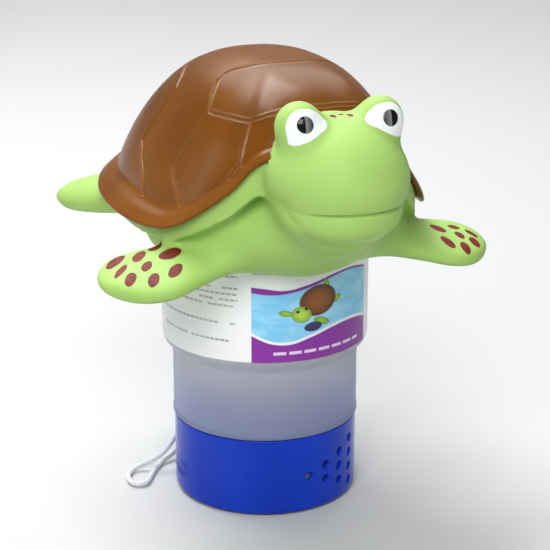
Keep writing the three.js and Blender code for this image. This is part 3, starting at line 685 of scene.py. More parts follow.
def make_carapace():
    nt = 360
    t = 2 * np.pi * np.arange(nt) / nt
    rows, down = [], []
    # dome rings evenly spread along the section
    ss = np.linspace(0, 0.993, 600)
    r, z, _ = shell_rz(np.zeros(1), ss[:, None])
    arc = np.concatenate([[0], np.cumsum(np.hypot(np.diff(r[:, 0]), np.diff(z[:, 0])))])
    ds = np.interp(np.linspace(0, arc[-1], 84)[1:], arc, ss)
    for s in ds:
        rows.append(shell_point(t, np.full(nt, s))[0])
    # foot fillet between the dome and the flared rim
    A, _, dA = shell_point(t, np.full(nt, 0.993))
    C, _, _ = shell_point(t, np.full(nt, 1.0))
    B, _, _ = shell_point(t, np.full(nt, 1.11))
    for k in range(1, 9):
        u = k / 9
        rows.append((1 - u) ** 2 * A + 2 * u * (1 - u) * C + u * u * B)
    half = SHELL_T / 2
    P2, n2, d2 = shell_point(t, np.full(nt, 1.98))
    P2 = shell_point(t, np.full(nt, 2.0))[0]
    Pb = shell_point(t, np.full(nt, 1.11))[0]
    stop = P2 - d2 * half * 1.15
    for k in range(0, 9):
        u = k / 9
        q = Pb + (stop - Pb) * u
        belly = 0.35 * math.sin(math.pi * u) ** 2      # the rim is slightly crowned
        rows.append(q + n2 * belly)
    centre = stop - n2 * half
    for k in range(0, 11):
        a = math.pi * (0.5 - k / 10)
        rows.append(centre + d2 * half * 1.15 * math.cos(a) + n2 * half * math.sin(a))
    n_out = len(rows)
    for s in (1.6, 1.2, 1.0, 0.96, 0.9, 0.82, 0.72, 0.6, 0.46, 0.3, 0.14):
        rows.append(shell_point(t, np.full(nt, s), SHELL_T)[0])
    V = np.concatenate([np.array([[0, APEX_Y, APEX_Z]])] + rows + [np.array([[0, APEX_Y, APEX_Z - SHELL_T]])])
    nr = len(rows)
    k = np.arange(nt)
    l = (k + 1) % nt
    quads = []
    for j in range(nr - 1):
        a, b = 1 + j * nt, 1 + (j + 1) * nt
        quads.append(np.stack([a + k, b + k, b + l, a + l], 1))
    top = np.stack([np.zeros(nt, int), 1 + k, 1 + l], 1)
    bot = np.stack([np.full(nt, len(V) - 1), 1 + (nr - 1) * nt + l, 1 + (nr - 1) * nt + k], 1)
    me = mesh_from("carapace_shell", V, [np.concatenate(quads), np.concatenate([top, bot])])
    outwards(me)
    # finer faces along the seams, then the seams pressed into the surface
    S, W = seam_samples()
    tree = KDTree(len(S))
    for i, p in enumerate(S):
        tree.insert(p, i)
    tree.balance()
    bm = bmesh.new()
    bm.from_mesh(me)
    outer_count = 1 + n_out * nt
    flag = bm.verts.layers.float.new("outer")
    bm.verts.ensure_lookup_table()
    for v in bm.verts:
        v[flag] = 1.0 if v.index < outer_count else 0.0
    for reach in (2.3, 1.5):
        near = set()
        for v in bm.verts:
            if v[flag] > 0.99 and tree.find(v.co * 1000)[2] < reach:
                near.add(v)
        edges = [e for e in bm.edges if (e.verts[0] in near or e.verts[1] in near)
                 and e.verts[0][flag] > 0.99 and e.verts[1][flag] > 0.99]
        bmesh.ops.subdivide_edges(bm, edges=edges, cuts=1, use_grid_fill=True)
    bm.normal_update()
    co = np.array([v.co for v in bm.verts]) * 1000
    no = np.array([v.normal for v in bm.verts])
    outer = np.array([v[flag] for v in bm.verts])
    dist, wt = np.full(len(co), 9.0), np.zeros(len(co))
    for i in np.where(outer > 0.99)[0]:
        _, j, d = tree.find(co[i])
        dist[i], wt[i] = d, W[j]
    cut = -0.62 * np.exp(-(dist / 0.5) ** 2) + 0.2 * np.exp(-((dist - 1.15) / 0.55) ** 2)
    co += no * (cut * np.minimum(wt, 1.2))[:, None]
    # painted highlight: a lighter band along each seam, standing in for light caught by the groove walls
    line = np.exp(-(dist / 0.55) ** 2) * wt
    for v, p in zip(bm.verts, co):
        v.co = p * 1e-3
    bm.to_mesh(me)
    bm.free()
    me.attributes.new("seam_highlight", "FLOAT", "POINT").data.foreach_set("value", line.astype(np.float32))
    return me


def shell_material():
    N = Nodes("shell_brown")
    x, y, z = N.xyz(N.obj)
    broad = N.noise(13, 2, 0.5)
    mid = N.noise(55, 3, 0.55)
    fine = N.noise(900, 2, 0.5)
    base = N.mix(N.step(broad, 0.32, 0.68), lin(98, 54, 4), lin(122, 72, 10))
    base = N.mix(N.math("MULTIPLY", N.step(mid, 0.45, 0.8), 0.35), base, lin(120, 66, 14))
    # lighter and yellower towards the crown
    base = N.mix(N.math("MULTIPLY", N.step(z, 0.196, 0.216), 0.25), base, lin(124, 82, 32))
    # painted highlight: the shell lightened along the seams where the groove walls would catch the light
    base = N.mix(N.math("MULTIPLY", N.attr("seam_highlight"), 0.75), base, lin(146, 100, 50))
    base = N.mix(N.math("MULTIPLY", fine, 0.05), base, lin(70, 36, 8))
    rough = N.line(mid, 0.3, 0.7, 0.27, 0.35)
    bump = N.bump(N.noise(700, 3, 0.6), 0.06, 0.0002)
    bump = N.bump(N.noise(90, 2, 0.5), 0.06, 0.0008, bump)
    N.set(color=base, rough=rough, normal=bump, coat=0.12, coat_rough=0.2, spec=0.11)
    return N.mat


put("carapace_shell", make_carapace(), shell_material(), "float", ["carapace"], 50)


# ------------------------------------------------------------------ green body
def flange_band(p):
    """(distance into the space of the flared rim, distance into the seat under it), both near the rim only."""
    x, y, z = p[..., 0], p[..., 1] - YC, p[..., 2]
    t, R = np.arctan2(y, x), np.hypot(x, y)
    fw, rp = flange_w(t), plan_r(t)
    rf, zr = rp - fw, rim_z(t)
    zf = zr + fw * DROP
    top = zf - (R - rf) * DROP
    under = top - SHELL_T / 0.8046
    band = np.maximum.reduce([R - (rp + 0.25), (under - 0.25 - z) * 0.8046, (z - top - 0.25) * 0.8046, (rf - 4) - R])
    inner = zf - np.maximum(R - rf, 0) * DROP - 3.5
    drop = 7 + 9 * np.clip((zr - 147) / 41, 0, 1)
    seat = np.maximum.reduce([R - (rf + 0.45 * fw - 0.6), z - inner, (zr - drop) - z])
    return band, seat


def groove(dz, up, down, depth):
    return depth * np.exp(-np.where(dz > 0, (dz / up) ** 2, (dz / down) ** 2))


def creases(p):
    """Millimetres taken off the skin at the mouth, the chin and the neck folds."""
    x, y, z = np.abs(p[..., 0]), p[..., 1], p[..., 2]
    front = smooth(-y, 84, 92)
    mouth = 168.0 - 0.8 * (x / 27) ** 2 + 1.6 * smooth(x, 22, 29)
    g = groove(z - mouth, 0.55, 1.5, 0.95) * front * (1 - 0.75 * smooth(x, 15, 24)) * (1 - smooth(x, 24.5, 28.5))
    # the corner of the mouth turns up into the cheek
    corner = np.sqrt(((x - 27.6) / 1.4) ** 2 + ((z - 170.0) / 2.6) ** 2)
    g = g + 0.45 * np.exp(-corner ** 2) * front
    # the fold under the lower lip runs round to the corners of the mouth
    chin = 152.5 + 15.0 * np.clip(x / 27, 0, 1.05) ** 3.2
    g = g + groove(z - chin, 2.0, 2.6, 0.55) * smooth(-y, 80, 92) * (1 - smooth(x, 25, 28))
    neck = 146.2 + 6.0 * (x / 30) ** 2
    g = g + groove(z - neck, 1.8, 2.6, 0.35) * smooth(-y, 78, 86) * (1 - smooth(x, 16, 30))
    return g


def body_field(p):
    d = sculpt(p)
    band, seat = flange_band(p)
    d = smin(d, seat, 5)
    d = d + creases(p)
    d = np.maximum(d, -band)
    rr, z = np.hypot(p[..., 0], p[..., 1]), p[..., 2]
    return np.maximum(d, np.minimum(SOCKET_R - rr, SOCKET_Z - z))


def project(f, P, rounds=2, most=0.6):
    e = 0.15
    start = P.copy()
    for _ in range(rounds):
        g = np.stack([(f(P + np.eye(3)[k] * e) - f(P - np.eye(3)[k] * e)) / (2 * e) for k in range(3)], -1)
        gg = np.maximum((g * g).sum(-1), 0.25)
        P = P - g * (f(P) / gg)[:, None]
    d = P - start
    l = np.linalg.norm(d, axis=1)
    k = np.minimum(1, most / np.maximum(l, 1e-9))
    return start + d * k[:, None]


def make_body():
    h = 1.15
    lo = np.array([0.0, -125.0, 112.0])
    n = [int(math.ceil(s / h)) + 1 for s in (103.0, 240.0, 102.0)]
    xs, ys, zs = (lo[k] + h * np.arange(n[k]) for k in range(3))
    val = np.empty(n)
    for i in range(0, n[0], 8):          # in slabs, to keep memory small
        X, Y, Z = np.meshgrid(xs[i:i + 8], ys, zs, indexing="ij")
        val[i:i + 8] = body_field(np.stack([X, Y, Z], -1))
    full = np.concatenate([val[:0:-1], val], 0)
    V, Q = surface_nets(full, np.array([-xs[-1], lo[1], lo[2]]), h)
    # the largest piece only
    parent = np.arange(len(V))
    for _ in range(200):
        m = parent[Q].min(1)
        new = parent.copy()
        np.minimum.at(new, Q.ravel(), np.repeat(m, 4))
        new = new[new]
        if (new == parent).all():
            break
        parent = new
    roots, counts = np.unique(parent, return_counts=True)
    keep = parent == roots[counts.argmax()]
    remap = -np.ones(len(V), int)
    remap[keep] = np.arange(keep.sum())
    V, Q = V[keep], remap[Q[keep[Q].all(1)]]
    # relaxed, and kept on the surface
    for _ in range(3):
        acc, cnt = np.zeros_like(V), np.zeros(len(V))
        for a, b in ((0, 1), (1, 2), (2, 3), (3, 0)):
            np.add.at(acc, Q[:, a], V[Q[:, b]])
            np.add.at(acc, Q[:, b], V[Q[:, a]])
            np.add.at(cnt, Q[:, a], 1)
            np.add.at(cnt, Q[:, b], 1)
        V = project(body_field, 0.5 * V + 0.5 * acc / cnt[:, None], 1, 0.4 * h)
    me = mesh_from("turtle_skin", V, [Q])
    # finer faces along the mouth and the folds
    bm = bmesh.new()
    bm.from_mesh(me)
    for _ in range(2):
        co = np.array([v.co for v in bm.verts]) * 1000
        hot = creases(co) > 0.10
        hot |= (np.abs(co[:, 2] - 168) < 2.6) & (co[:, 1] < -88) & (np.abs(co[:, 0]) < 31)
        edges = [e for e in bm.edges if hot[e.verts[0].index] or hot[e.verts[1].index]]
        bmesh.ops.subdivide_edges(bm, edges=edges, cuts=1, use_grid_fill=True)
        bm.verts.index_update()
        bm.verts.ensure_lookup_table()
        co = np.array([v.co for v in bm.verts]) * 1000
        hot = (creases(co) > 0.02) | ((np.abs(co[:, 2] - 168) < 4) & (co[:, 1] < -84) & (np.abs(co[:, 0]) < 33))
        new = co.copy()
        new[hot] = project(body_field, co[hot], 2, 0.8)
        for v, p in zip(bm.verts, new):
            v.co = p * 1e-3
    bm.to_mesh(me)
    bm.free()
    outwards(me)
    co = np.zeros(len(me.vertices) * 3, np.float32)
    me.vertices.foreach_get("co", co)
    co = co.reshape(-1, 3).astype(float) * 1000
    # crease depth kept for the painted shade in the mouth, chin and neck folds
    me.attributes.new("crease_shade", "FLOAT", "POINT").data.foreach_set("value", creases(co).astype(np.float32))
    return me


# printed spots: centre and the two half axes, plan millimetres
SPOTS_RIGHT = [
    (-65.5, -35.5, (3.4, 0.8), (0.0, -3.2)),
    (-62.0, -46.5, (4.98, -0.79), (-0.66, -4.17)), (-74.1, -39.3, (3.81, 2.53), (-0.21, -4.15)),
    (-84.3, -37.0, (5.08, 3.12), (-0.16, -4.44)), (-84.7, -47.3, (3.65, 3.13), (0.33, -2.10)),
    (-73.8, -50.1, (2.84, 2.26), (0.31, -3.13)), (-63.7, -59.6, (3.68, 2.29), (0.57, -3.23)),
    (-82.7, -55.6, (2.70, 2.99), (1.12, -2.85)), (-74.0, -61.1, (2.64, 3.35), (1.35, -2.46)),
]
SPOTS_LEFT = [
    (68.7, -47.3, (3.05, -2.72), (-1.85, -2.86)), (78.7, -43.7, (2.49, -1.48), (-1.45, -2.37)),
    (85.5, -48.9, (1.97, -3.03), (-1.42, -1.95)), (67.4, -60.3, (1.84, -4.15), (-2.15, -2.40)),
    (77.4, -52.7, (1.26, -2.74), (-1.79, -2.31)), (82.7, -57.5, (1.13, -3.27), (-2.27, -2.44)),
    (75.0, -63.4, (0.58, -3.72), (-2.38, -1.95)),
]
SPOTS_HEAD = [
    (-2.8, -88.6, (1.20, -0.96), (-0.91, -1.57)), (1.4, -87.4, (1.47, 0.29), (-0.30, -0.96)),
    (4.5, -89.6, (0.93, -1.64), (-0.74, -1.02)),
]


def green_material():
    N = Nodes("vinyl_green")
    x, y, z = N.xyz(N.obj)
    nrm = N.xyz(N.tc.outputs["Normal"])[2]
    wobble = N.new("ShaderNodeTexNoise")
    N.to(wobble.inputs["Vector"], N.obj)
    wobble.inputs["Scale"].default_value = 300
    wobble.inputs["Detail"].default_value = 2
    off = N.vec("SCALE", N.vec("SUBTRACT", wobble.outputs["Color"], (0.5, 0.5, 0.5)), scale=0.0008)
    p = N.vec("ADD", N.obj, off)
    best = None
    for cx, cy, a, b in SPOTS_RIGHT + SPOTS_LEFT + SPOTS_HEAD:
        det = a[0] * b[1] - a[1] * b[0]
        r1 = (b[1] / det * 1000, -b[0] / det * 1000, 0)
        r2 = (-a[1] / det * 1000, a[0] / det * 1000, 0)
        c = Vector((cx, cy, 0)) * 1e-3
        u = N.math("SUBTRACT", N.vec("DOT_PRODUCT", p, r1), float(Vector(r1).dot(c)))
        v = N.math("SUBTRACT", N.vec("DOT_PRODUCT", p, r2), float(Vector(r2).dot(c)))
        d = N.math("ADD", N.math("MULTIPLY", u, u), N.math("MULTIPLY", v, v))
        best = d if best is None else N.math("MINIMUM", best, d)
    upper = N.step(nrm, 0.12, 0.22)
    spot = N.math("MULTIPLY", N.step(best, 1.06, 0.94), upper)
    broad, mid, fine = N.noise(9, 2, 0.5), N.noise(60, 3, 0.55), N.noise(1500, 2, 0.5)
    base = N.mix(N.step(broad, 0.35, 0.65), GREEN_A, GREEN_B)
    base = N.mix(N.math("MULTIPLY", mid, 0.10), base, GREEN_C)
    # painted shade: the skin darkened in the mouth, chin and neck creases
    crease_shade = N.step(N.attr("crease_shade"), 0.2, 1.3)
    base = N.mix(N.math("MULTIPLY", crease_shade, 0.55), base, lin(96, 132, 50))
    paint = N.mix(N.step(N.noise(260, 2, 0.5), 0.35, 0.70), lin(98, 20, 6), lin(124, 34, 14))
    edge = N.math("MULTIPLY", N.step(best, 0.62, 1.0), 0.45)
    paint = N.mix(edge, paint, lin(86, 18, 4))
    base = N.mix(spot, base, paint)
    rough = N.mixf(spot, N.line(mid, 0.3, 0.7, 0.50, 0.60), 0.58)
    bump = N.bump(N.noise(1100, 3, 0.6), 0.12, 0.0002)
    bump = N.bump(N.noise(70, 2, 0.5), 0.05, 0.0010, bump)
    bump = N.bump(spot, 0.5, 0.00006, bump)
    N.set(color=base, rough=rough, normal=bump, sss=0.10, sss_r=(1.0, 1.0, 0.5), sss_s=0.003, spec=0.25)
    N.bsdf.subsurface_method = "BURLEY"
    return N.mat


GREEN_A, GREEN_B, GREEN_C = lin(154, 192, 100), lin(161, 199, 107), lin(140, 180, 84)
put("turtle_skin", make_body(), green_material(), "float", ["turtle_body"])


# ------------------------------------------------------------------ eyes
def unit(v):
    return v / np.linalg.norm(v, axis=-1, keepdims=True)


EYE_AXIS = unit(np.array([0, -9.5, 3.3]))
EYE_X = np.array([1.0, 0, 0])
EYE_Y = np.cross(EYE_AXIS, EYE_X)
if EYE_Y[2] < 0:
    EYE_Y = -EYE_Y
EYE_PH = [-180, -165, -145, -113, -85, -70, -55, -48, -35, -10, 12, 39, 73, 107, 140, 165, 180]
EYE_TH = [50, 42.5, 33.5, 31, 37, 45, 55, 55.5, 49, 43, 39, 35, 32, 31.5, 38.5, 47, 50]


def eye_dir(th, ph):
    return unit(np.cos(th)[..., None] * EYE_AXIS + np.sin(th)[..., None]
                * (np.cos(ph)[..., None] * EYE_X + np.sin(ph)[..., None] * EYE_Y))


def eye_rho(d):
    a, b = np.full(d.shape[:-1], 4.0), np.full(d.shape[:-1], 30.0)
    for _ in range(26):
        m = (a + b) / 2
        inside = sculpt(EYE_C + d * m[..., None]) < 0
        a, b = np.where(inside, m, a), np.where(inside, b, m)
    return (a + b) / 2


def patch(name, outline, c0, height, depth, nph, nth, mirror):
    """Domed patch on the eye bulge; height(k) above the skin for k from 0 at the centre to 1 at the edge."""
    ph = -np.pi + 2 * np.pi * np.arange(nph) / nph
    out = np.radians(outline(np.degrees(ph)))
    fr = [k / nth for k in range(1, nth + 1)]
    fr = fr[:-1] + [1 - 0.4 / nth, 1.0]
    rows = []
    for kk in fr:
        th = out * kk
        tx, ty = c0[0] + th * np.cos(ph), c0[1] + th * np.sin(ph)
        d = eye_dir(np.hypot(tx, ty), np.arctan2(ty, tx))
        rho = eye_rho(d)
        rows.append(EYE_C + d * (rho + height(kk))[:, None] if isinstance(height(kk), np.ndarray)
                    else EYE_C + d * (rho + height(kk))[:, None])
    d_edge, rho_edge = d, rho
    skirt = [EYE_C + d_edge * (rho_edge - depth * f)[:, None] for f in (0.35, 1.0)]
    rows += skirt
    hyp = math.hypot(*c0)
    dc = eye_dir(np.array([hyp]), np.array([math.atan2(c0[1], c0[0])]))
    rc = eye_rho(dc)[0]
    top, bottom = EYE_C + dc[0] * (rc + height(0.0)), EYE_C + dc[0] * (rc - depth)
    V = np.concatenate([top[None]] + rows + [bottom[None]])
    if mirror:
        V = V * np.array([-1, 1, 1])
    k = np.arange(nph)
    l = (k + 1) % nph
    quads = [np.stack([1 + j * nph + k, 1 + (j + 1) * nph + k, 1 + (j + 1) * nph + l, 1 + j * nph + l], 1)
             for j in range(len(rows) - 1)]
    tri = np.concatenate([np.stack([np.zeros(nph, int), 1 + k, 1 + l], 1),
                          np.stack([np.full(nph, len(V) - 1), 1 + (len(rows) - 1) * nph + l, 1 + (len(rows) - 1) * nph + k], 1)])
    me = mesh_from(name, V, [np.concatenate(quads), tri])
    outwards(me)
    return me


def eye_materials():
    N = Nodes("eye_white_paint")
    n1, n2 = N.noise(240, 3, 0.5), N.noise(1800, 2, 0.5)
    base = N.mix(N.step(n1, 0.35, 0.7), lin(240, 244, 243), lin(228, 234, 236))
    white = N.set(color=base, rough=N.line(n1, 0.3, 0.7, 0.24, 0.34), normal=N.bump(n2, 0.08, 0.0001), coat=0.3, coat_rough=0.12)
    N = Nodes("pupil_black")
    x, y, z = N.xyz(N.obj)
    inner = N.math("MULTIPLY", N.math("SUBTRACT", 0.0193, N.math("ABSOLUTE", x)), 1 / 0.0033)
    grey = N.math("MULTIPLY", N.step(inner, -0.06, 0.06), N.line(inner, 0.0, 1.0, 1.0, 0.15))
    grey = N.math("MULTIPLY", grey, N.line(N.noise(900, 2, 0.5), 0.3, 0.7, 0.85, 1.0))
    base = N.mix(grey, lin(14, 14, 16), lin(132, 133, 136))
    N.set(color=base, rough=N.line(N.noise(300, 2, 0.5), 0.3, 0.7, 0.16, 0.24), normal=N.bump(N.noise(1500, 2, 0.5), 0.05, 0.0001),
          coat=0.1, coat_rough=0.06, spec=0.25)
    return white, N.mat


def make_eyes():
    white, black = eye_materials()
    for side, mirror in (("left", False), ("right", True)):
        me = patch("eye_" + side, lambda ph: curve(ph, EYE_PH, EYE_TH), (0, 0),
                   lambda k: 0.25 if k < 0.985 else (0.20 if k < 0.999 else 0.05), 0.9, 120, 18, mirror)
        put("eye_" + side, me, white, "float", ["eye_white_" + side], 50)
        me = patch("pupil_disc_" + side, lambda ph: 16.8 + 0 * ph, (0, math.radians(-3)),
                   lambda k: 0.42 + 0.32 * (1 - k * k) if k < 0.99 else 0.32, 0.1, 72, 12, mirror)
        put("pupil_disc_" + side, me, black, "float", ["pupil_" + side], 50)


make_eyes()


# ------------------------------------------------------------------ canister
def make_canister():
    pr = rounded([
        (0, 0, 0), (36.5, 0, 0.3), (36.9, 0.4, 0.2), (38.6, 0.4, 0.2), (39.0, 0, 0.2), (40.2, 0, 0.8), (R_FOOT, 1.4, 0.6),
        (R_FOOT, 2.0, 0.2), (R_FOOT + 0.8, 2.5, 0.3), (R_FOOT + 0.8, 3.5, 0.3), (R_FOOT, 4.1, 0.2),
        (R_FOOT, 39.3, 0.3), (R_CUP - 0.2, 39.4, 0.3), (R_CUP + 0.4, 40.1, 0.5), (R_CUP + 0.4, 41.2, 0.5), (R_CUP, 42.4, 0.8),
        (R_CUP, Z_STEP0, 1.2), (R_COLLAR - 0.3, Z_STEP1 - 1.3, 1.6), (R_COLLAR, Z_STEP1 + 0.4, 0.6),
        (R_COLLAR, Z_RIM, 0.6), (R_COLLAR - WALL, Z_RIM, 0.5), (R_COLLAR - WALL, LEDGE_Z1, 0.3), (LEDGE_R, LEDGE_Z1, 0.5),
        (LEDGE_R, LEDGE_Z0, 0.5), (R_COLLAR - WALL, LEDGE_Z0, 0.3), (R_COLLAR - WALL, 80.9, 1.2), (R_CUP - WALL, 75.2, 1.2),
        (R_CUP - WALL, 42.0, 1.2), (R_FOOT - WALL, 38.2, 1.2), (R_FOOT - WALL, 3.6, 1.4), (R_FOOT - WALL - 1.8, 2.0, 1.0), (0, 2.0, 0),
    ], 5)
    me = lathe("canister_cup", densify(pr, 4.0), 256)
    cuts = [sector(43.5, R_COLLAR - WALL + 0.35, LEDGE_Z0 - 0.4, LEDGE_Z1 + 0.4, a - NOTCH_HALF, a + NOTCH_HALF, 12) for a in BAYONET]
    cuts += [sector(37.5, 43.6, WINDOW_Z0, WINDOW_Z1, WINDOW_A0 + o, WINDOW_A1 + o, 24) for o in (0, 180)]
    me = boolean(me, cuts, "DIFFERENCE")
    # eyelet: a D-shaped lug with a rounded hole
    V, F = [], []
    n, h = 40, 3.0
    prof = []
    for i in range(n):
        a = 2 * math.pi * i / n
        ca, sa = math.cos(a), math.sin(a)
        if ca >= 0:
            prof.append((LUG_R + 3.4 * ca, LUG_Z + 3.4 * sa, LUG_R + 1.9 * ca, LUG_Z + 1.9 * sa))
        else:
            k = 1 / max(abs(sa), abs(ca) * 3.4 / 4.8)
            prof.append((LUG_R + 3.4 * ca * k, LUG_Z + 3.4 * sa * k, LUG_R + 1.9 * ca, LUG_Z + 1.9 * sa))
    rings = [(-h + 0.5, 0.0, 0.0), (-h + 0.12, 0.15, 0.12), (-h, 0.5, 0.5), (h, 0.5, 0.5), (h - 0.12, 0.15, 0.12), (h - 0.5, 0.0, 0.0)]
    order = [(w, ins, False) for w, ins, _ in rings]
    loops = []
    for w, ins, _ in rings:                  # outside of the lug, one face to the other
        loops.append([(ox + (LUG_R - ox) * ins / 3.4, w, oz + (LUG_Z - oz) * ins / 3.4) for ox, oz, ix, iz in prof])
    hole = []
    for w, _, ins in rings[::-1]:            # back through the hole
        hole.append([(LUG_R + (ix - LUG_R) * (1 + ins / 1.9), w, LUG_Z + (iz - LUG_Z) * (1 + ins / 1.9)) for ox, oz, ix, iz in prof])
    rows = [loops[2], loops[1], loops[0], loops[5], loops[4], loops[3]] + [hole[2], hole[1], hole[0], hole[5], hole[4], hole[3]]
    rot = math.radians(LUG_ANGLE)
    for row in rows:
        for a, w, z in row:
            V.append((a * math.cos(rot) - w * math.sin(rot), a * math.sin(rot) + w * math.cos(rot), z))
    m = len(rows)
    for j in range(m):
        for i in range(n):
            k = (i + 1) % n
            F.append((j * n + i, j * n + k, ((j + 1) % m) * n + k, ((j + 1) % m) * n + i))
    lug = mesh_from("lug", V, F)
    outwards(lug)
    me = boolean(me, [lug], "UNION")
    # trim anything of the lug that reached the inside
    me = boolean(me, [lathe("trim", [(0, 42.3), (R_CUP - WALL - 0.01, 42.3), (R_CUP - WALL - 0.01, 74.0), (0, 74.0)], 256)], "DIFFERENCE")
    return me


def canister_material():
    N = Nodes("frosted_polypropylene")
    x, y, z = N.xyz(N.obj)
    cloud = N.noise(38, 3, 0.5)
    flow = N.noise(30, 3, 0.6, N.vec("MULTIPLY", N.obj, (1.0, 1.0, 0.25)))
    fine = N.noise(1400, 2, 0.5)
    base = N.mix(N.step(cloud, 0.3, 0.7), lin(233, 233, 239), lin(239, 239, 243))
    base = N.mix(N.math("MULTIPLY", flow, 0.12), base, lin(204, 208, 224))
    # painted blue light: the wall tinted blue towards the bottom, standing in for the ring's colour seen through the
    # frosted wall
    base = N.mix(N.step(z, 0.078, 0.040, 0.0, 0.85), base, lin(186, 200, 244))
    rough = N.line(flow, 0.3, 0.7, 0.40, 0.52)
    bump = N.bump(fine, 0.15, 0.0002)
    bump = N.bump(cloud, 0.06, 0.0012, bump)
    N.set(color=base, rough=rough, normal=bump, trans=0.72, ior=1.36, spec=0.45)
    return N.mat


put("canister_cup", make_canister(), canister_material(), "canister", ["canister"], 32)


# ------------------------------------------------------------------ flow ring
def make_ring():
    pr = rounded([
        (RING_RI, 0.5, 0), (RING_RI + 0.7, 0.5, 0.3), (43.5, 0.7, 0.8), (44.3, 1.5, 1.0), (RING_RO, 3.2, 1.2),
        (RING_RO, Z_RING_TOP, 0.55), (RING_RI, Z_RING_TOP, 0.35), (RING_RI, 5.0, 0.2), (RING_RI + 0.8, 4.6, 0.2),
        (RING_RI + 0.8, 1.6, 0.2), (RING_RI, 1.2, 0.1), (RING_RI, 0.5, 0),
    ], 5)
    me = lathe("flow_ring_sleeve", densify(pr, 3.0), 288)
    cuts = []
    seg = 40
    for o in (0, 180):
        for i, col in enumerate(HOLE_COLS):
            a = math.radians(HOLE_A0 + HOLE_PITCH * i + o)
            for z in col:
                V, F = [], []
                prof = [(40.5, 2.25), (42.0, 2.22), (43.0, HOLE_R), (44.25, HOLE_R), (44.48, HOLE_R + 0.07), (44.62, HOLE_R + 0.2), (44.75, HOLE_R + 0.42), (45.6, HOLE_R + 1.3)]
                for d, r in prof:
                    for k in range(seg):
                        b = 2 * math.pi * k / seg
                        lx, ly, lz = d, r * math.cos(b), z + r * math.sin(b)
                        V.append((lx * math.cos(a) - ly * math.sin(a), lx * math.sin(a) + ly * math.cos(a), lz))
                for j in range(len(prof) - 1):
                    for k in range(seg):
                        l = (k + 1) % seg
                        F.append((j * seg + k, j * seg + l, (j + 1) * seg + l, (j + 1) * seg + k))
                F.append(tuple(range(seg - 1, -1, -1)))
                F.append(tuple((len(prof) - 1) * seg + k for k in range(seg)))
                t = mesh_from("hole", V, F)
                outwards(t)
                cuts.append(t)
    me = boolean(me, cuts, "DIFFERENCE")
    me.shade_smooth()
    me.set_sharp_from_angle(angle=math.radians(32))
    # the outside wall is exactly round, so its shading is too
    n = len(me.loops)
    nor = np.zeros(n * 3, np.float32)
    me.corner_normals.foreach_get("vector", nor)
    nor = nor.reshape(-1, 3)
    vi = np.zeros(n, np.int32)
    me.loops.foreach_get("vertex_index", vi)
    co = np.zeros(len(me.vertices) * 3, np.float32)
    me.vertices.foreach_get("co", co)
    co = co.reshape(-1, 3)[vi] * 1000
    pn = np.zeros(len(me.polygons) * 3, np.float32)
    me.polygons.foreach_get("normal", pn)
    total = np.zeros(len(me.polygons), np.int32)
    me.polygons.foreach_get("loop_total", total)
    fn = np.repeat(pn.reshape(-1, 3), total, 0)
    rad = co.copy()
    rad[:, 2] = 0
    rad /= np.maximum(np.linalg.norm(rad, axis=1)[:, None], 1e-9)
    wall = ((fn * rad).sum(1) > 0.998) & (np.abs(fn[:, 2]) < 0.02)
    nor[wall] = rad[wall]
    me.normals_split_custom_set([tuple(map(float, v)) for v in nor])
    return me


def ring_material():
    N = Nodes("ring_blue")
    x, y, z = N.xyz(N.obj)
    broad, fine = N.noise(24, 2, 0.5), N.noise(1600, 2, 0.5)
    streak = N.noise(60, 3, 0.6, N.vec("MULTIPLY", N.obj, (1.0, 1.0, 0.12)))
    base = N.mix(N.step(broad, 0.35, 0.65), lin(8, 49, 172), lin(12, 56, 186))
    base = N.mix(N.math("MULTIPLY", streak, 0.10), base, lin(24, 62, 196))
    rough = N.line(streak, 0.3, 0.7, 0.13, 0.2)
    bump = N.bump(N.noise(45, 2, 0.5), 0.05, 0.0010)
    bump = N.bump(fine, 0.04, 0.0001, bump)
    N.set(color=base, rough=rough, normal=bump, spec=0.2)
    return N.mat


def put_ring():
    me = make_ring()
    o = bpy.data.objects.new("flow_ring_sleeve", me)
    scene.collection.objects.link(o)
    me.materials.clear()
    me.materials.append(ring_material())
    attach(o, "flow_ring")
    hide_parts("flow_ring")


put_ring()


# ------------------------------------------------------------------ label
def make_label():
    seg = 320
    V, F = [], []
    e = 0.08
    rows = [(LABEL_RI, LABEL_Z0), (LABEL_RO - e, LABEL_Z0), (LABEL_RO, LABEL_Z0 + e)]
    rows += [(LABEL_RO, z) for z in np.linspace(LABEL_Z0, LABEL_Z1, 12)[1:-1]]
    rows += [(LABEL_RO, LABEL_Z1 - e), (LABEL_RO - e, LABEL_Z1), (LABEL_RI, LABEL_Z1)]
    m = len(rows)
    for i in range(seg + 1):
        a = math.radians(95 + 352 * i / seg)
        for r, z in rows:
            V.append((r * math.cos(a), r * math.sin(a), z))
    for i in range(seg):
        for k in range(m):
            a, b = i * m + k, i * m + (k + 1) % m
            F.append((a, b, b + m, a + m))
    F.append(tuple(range(m - 1, -1, -1)))
    F.append(tuple(seg * m + k for k in range(m)))
    me = mesh_from("label_wrap", V, F)
    outwards(me)
    return me


def label_base(name):
    N = Nodes(name)
    x, y, z = N.xyz(N.obj)
    ang = N.math("MULTIPLY", N.math("ARCTAN2", x, N.math("MULTIPLY", y, -1.0)), 180 / math.pi)
    zz = N.math("MULTIPLY", z, 1000.0)
    u = N.math("MULTIPLY", ang, 0.8727)                      # millimetres round the wrap
    paper = N.mix(N.step(N.noise(26, 3, 0.5), 0.3, 0.7), lin(232, 233, 236), lin(238, 239, 240))
    return N, ang, zz, u, paper


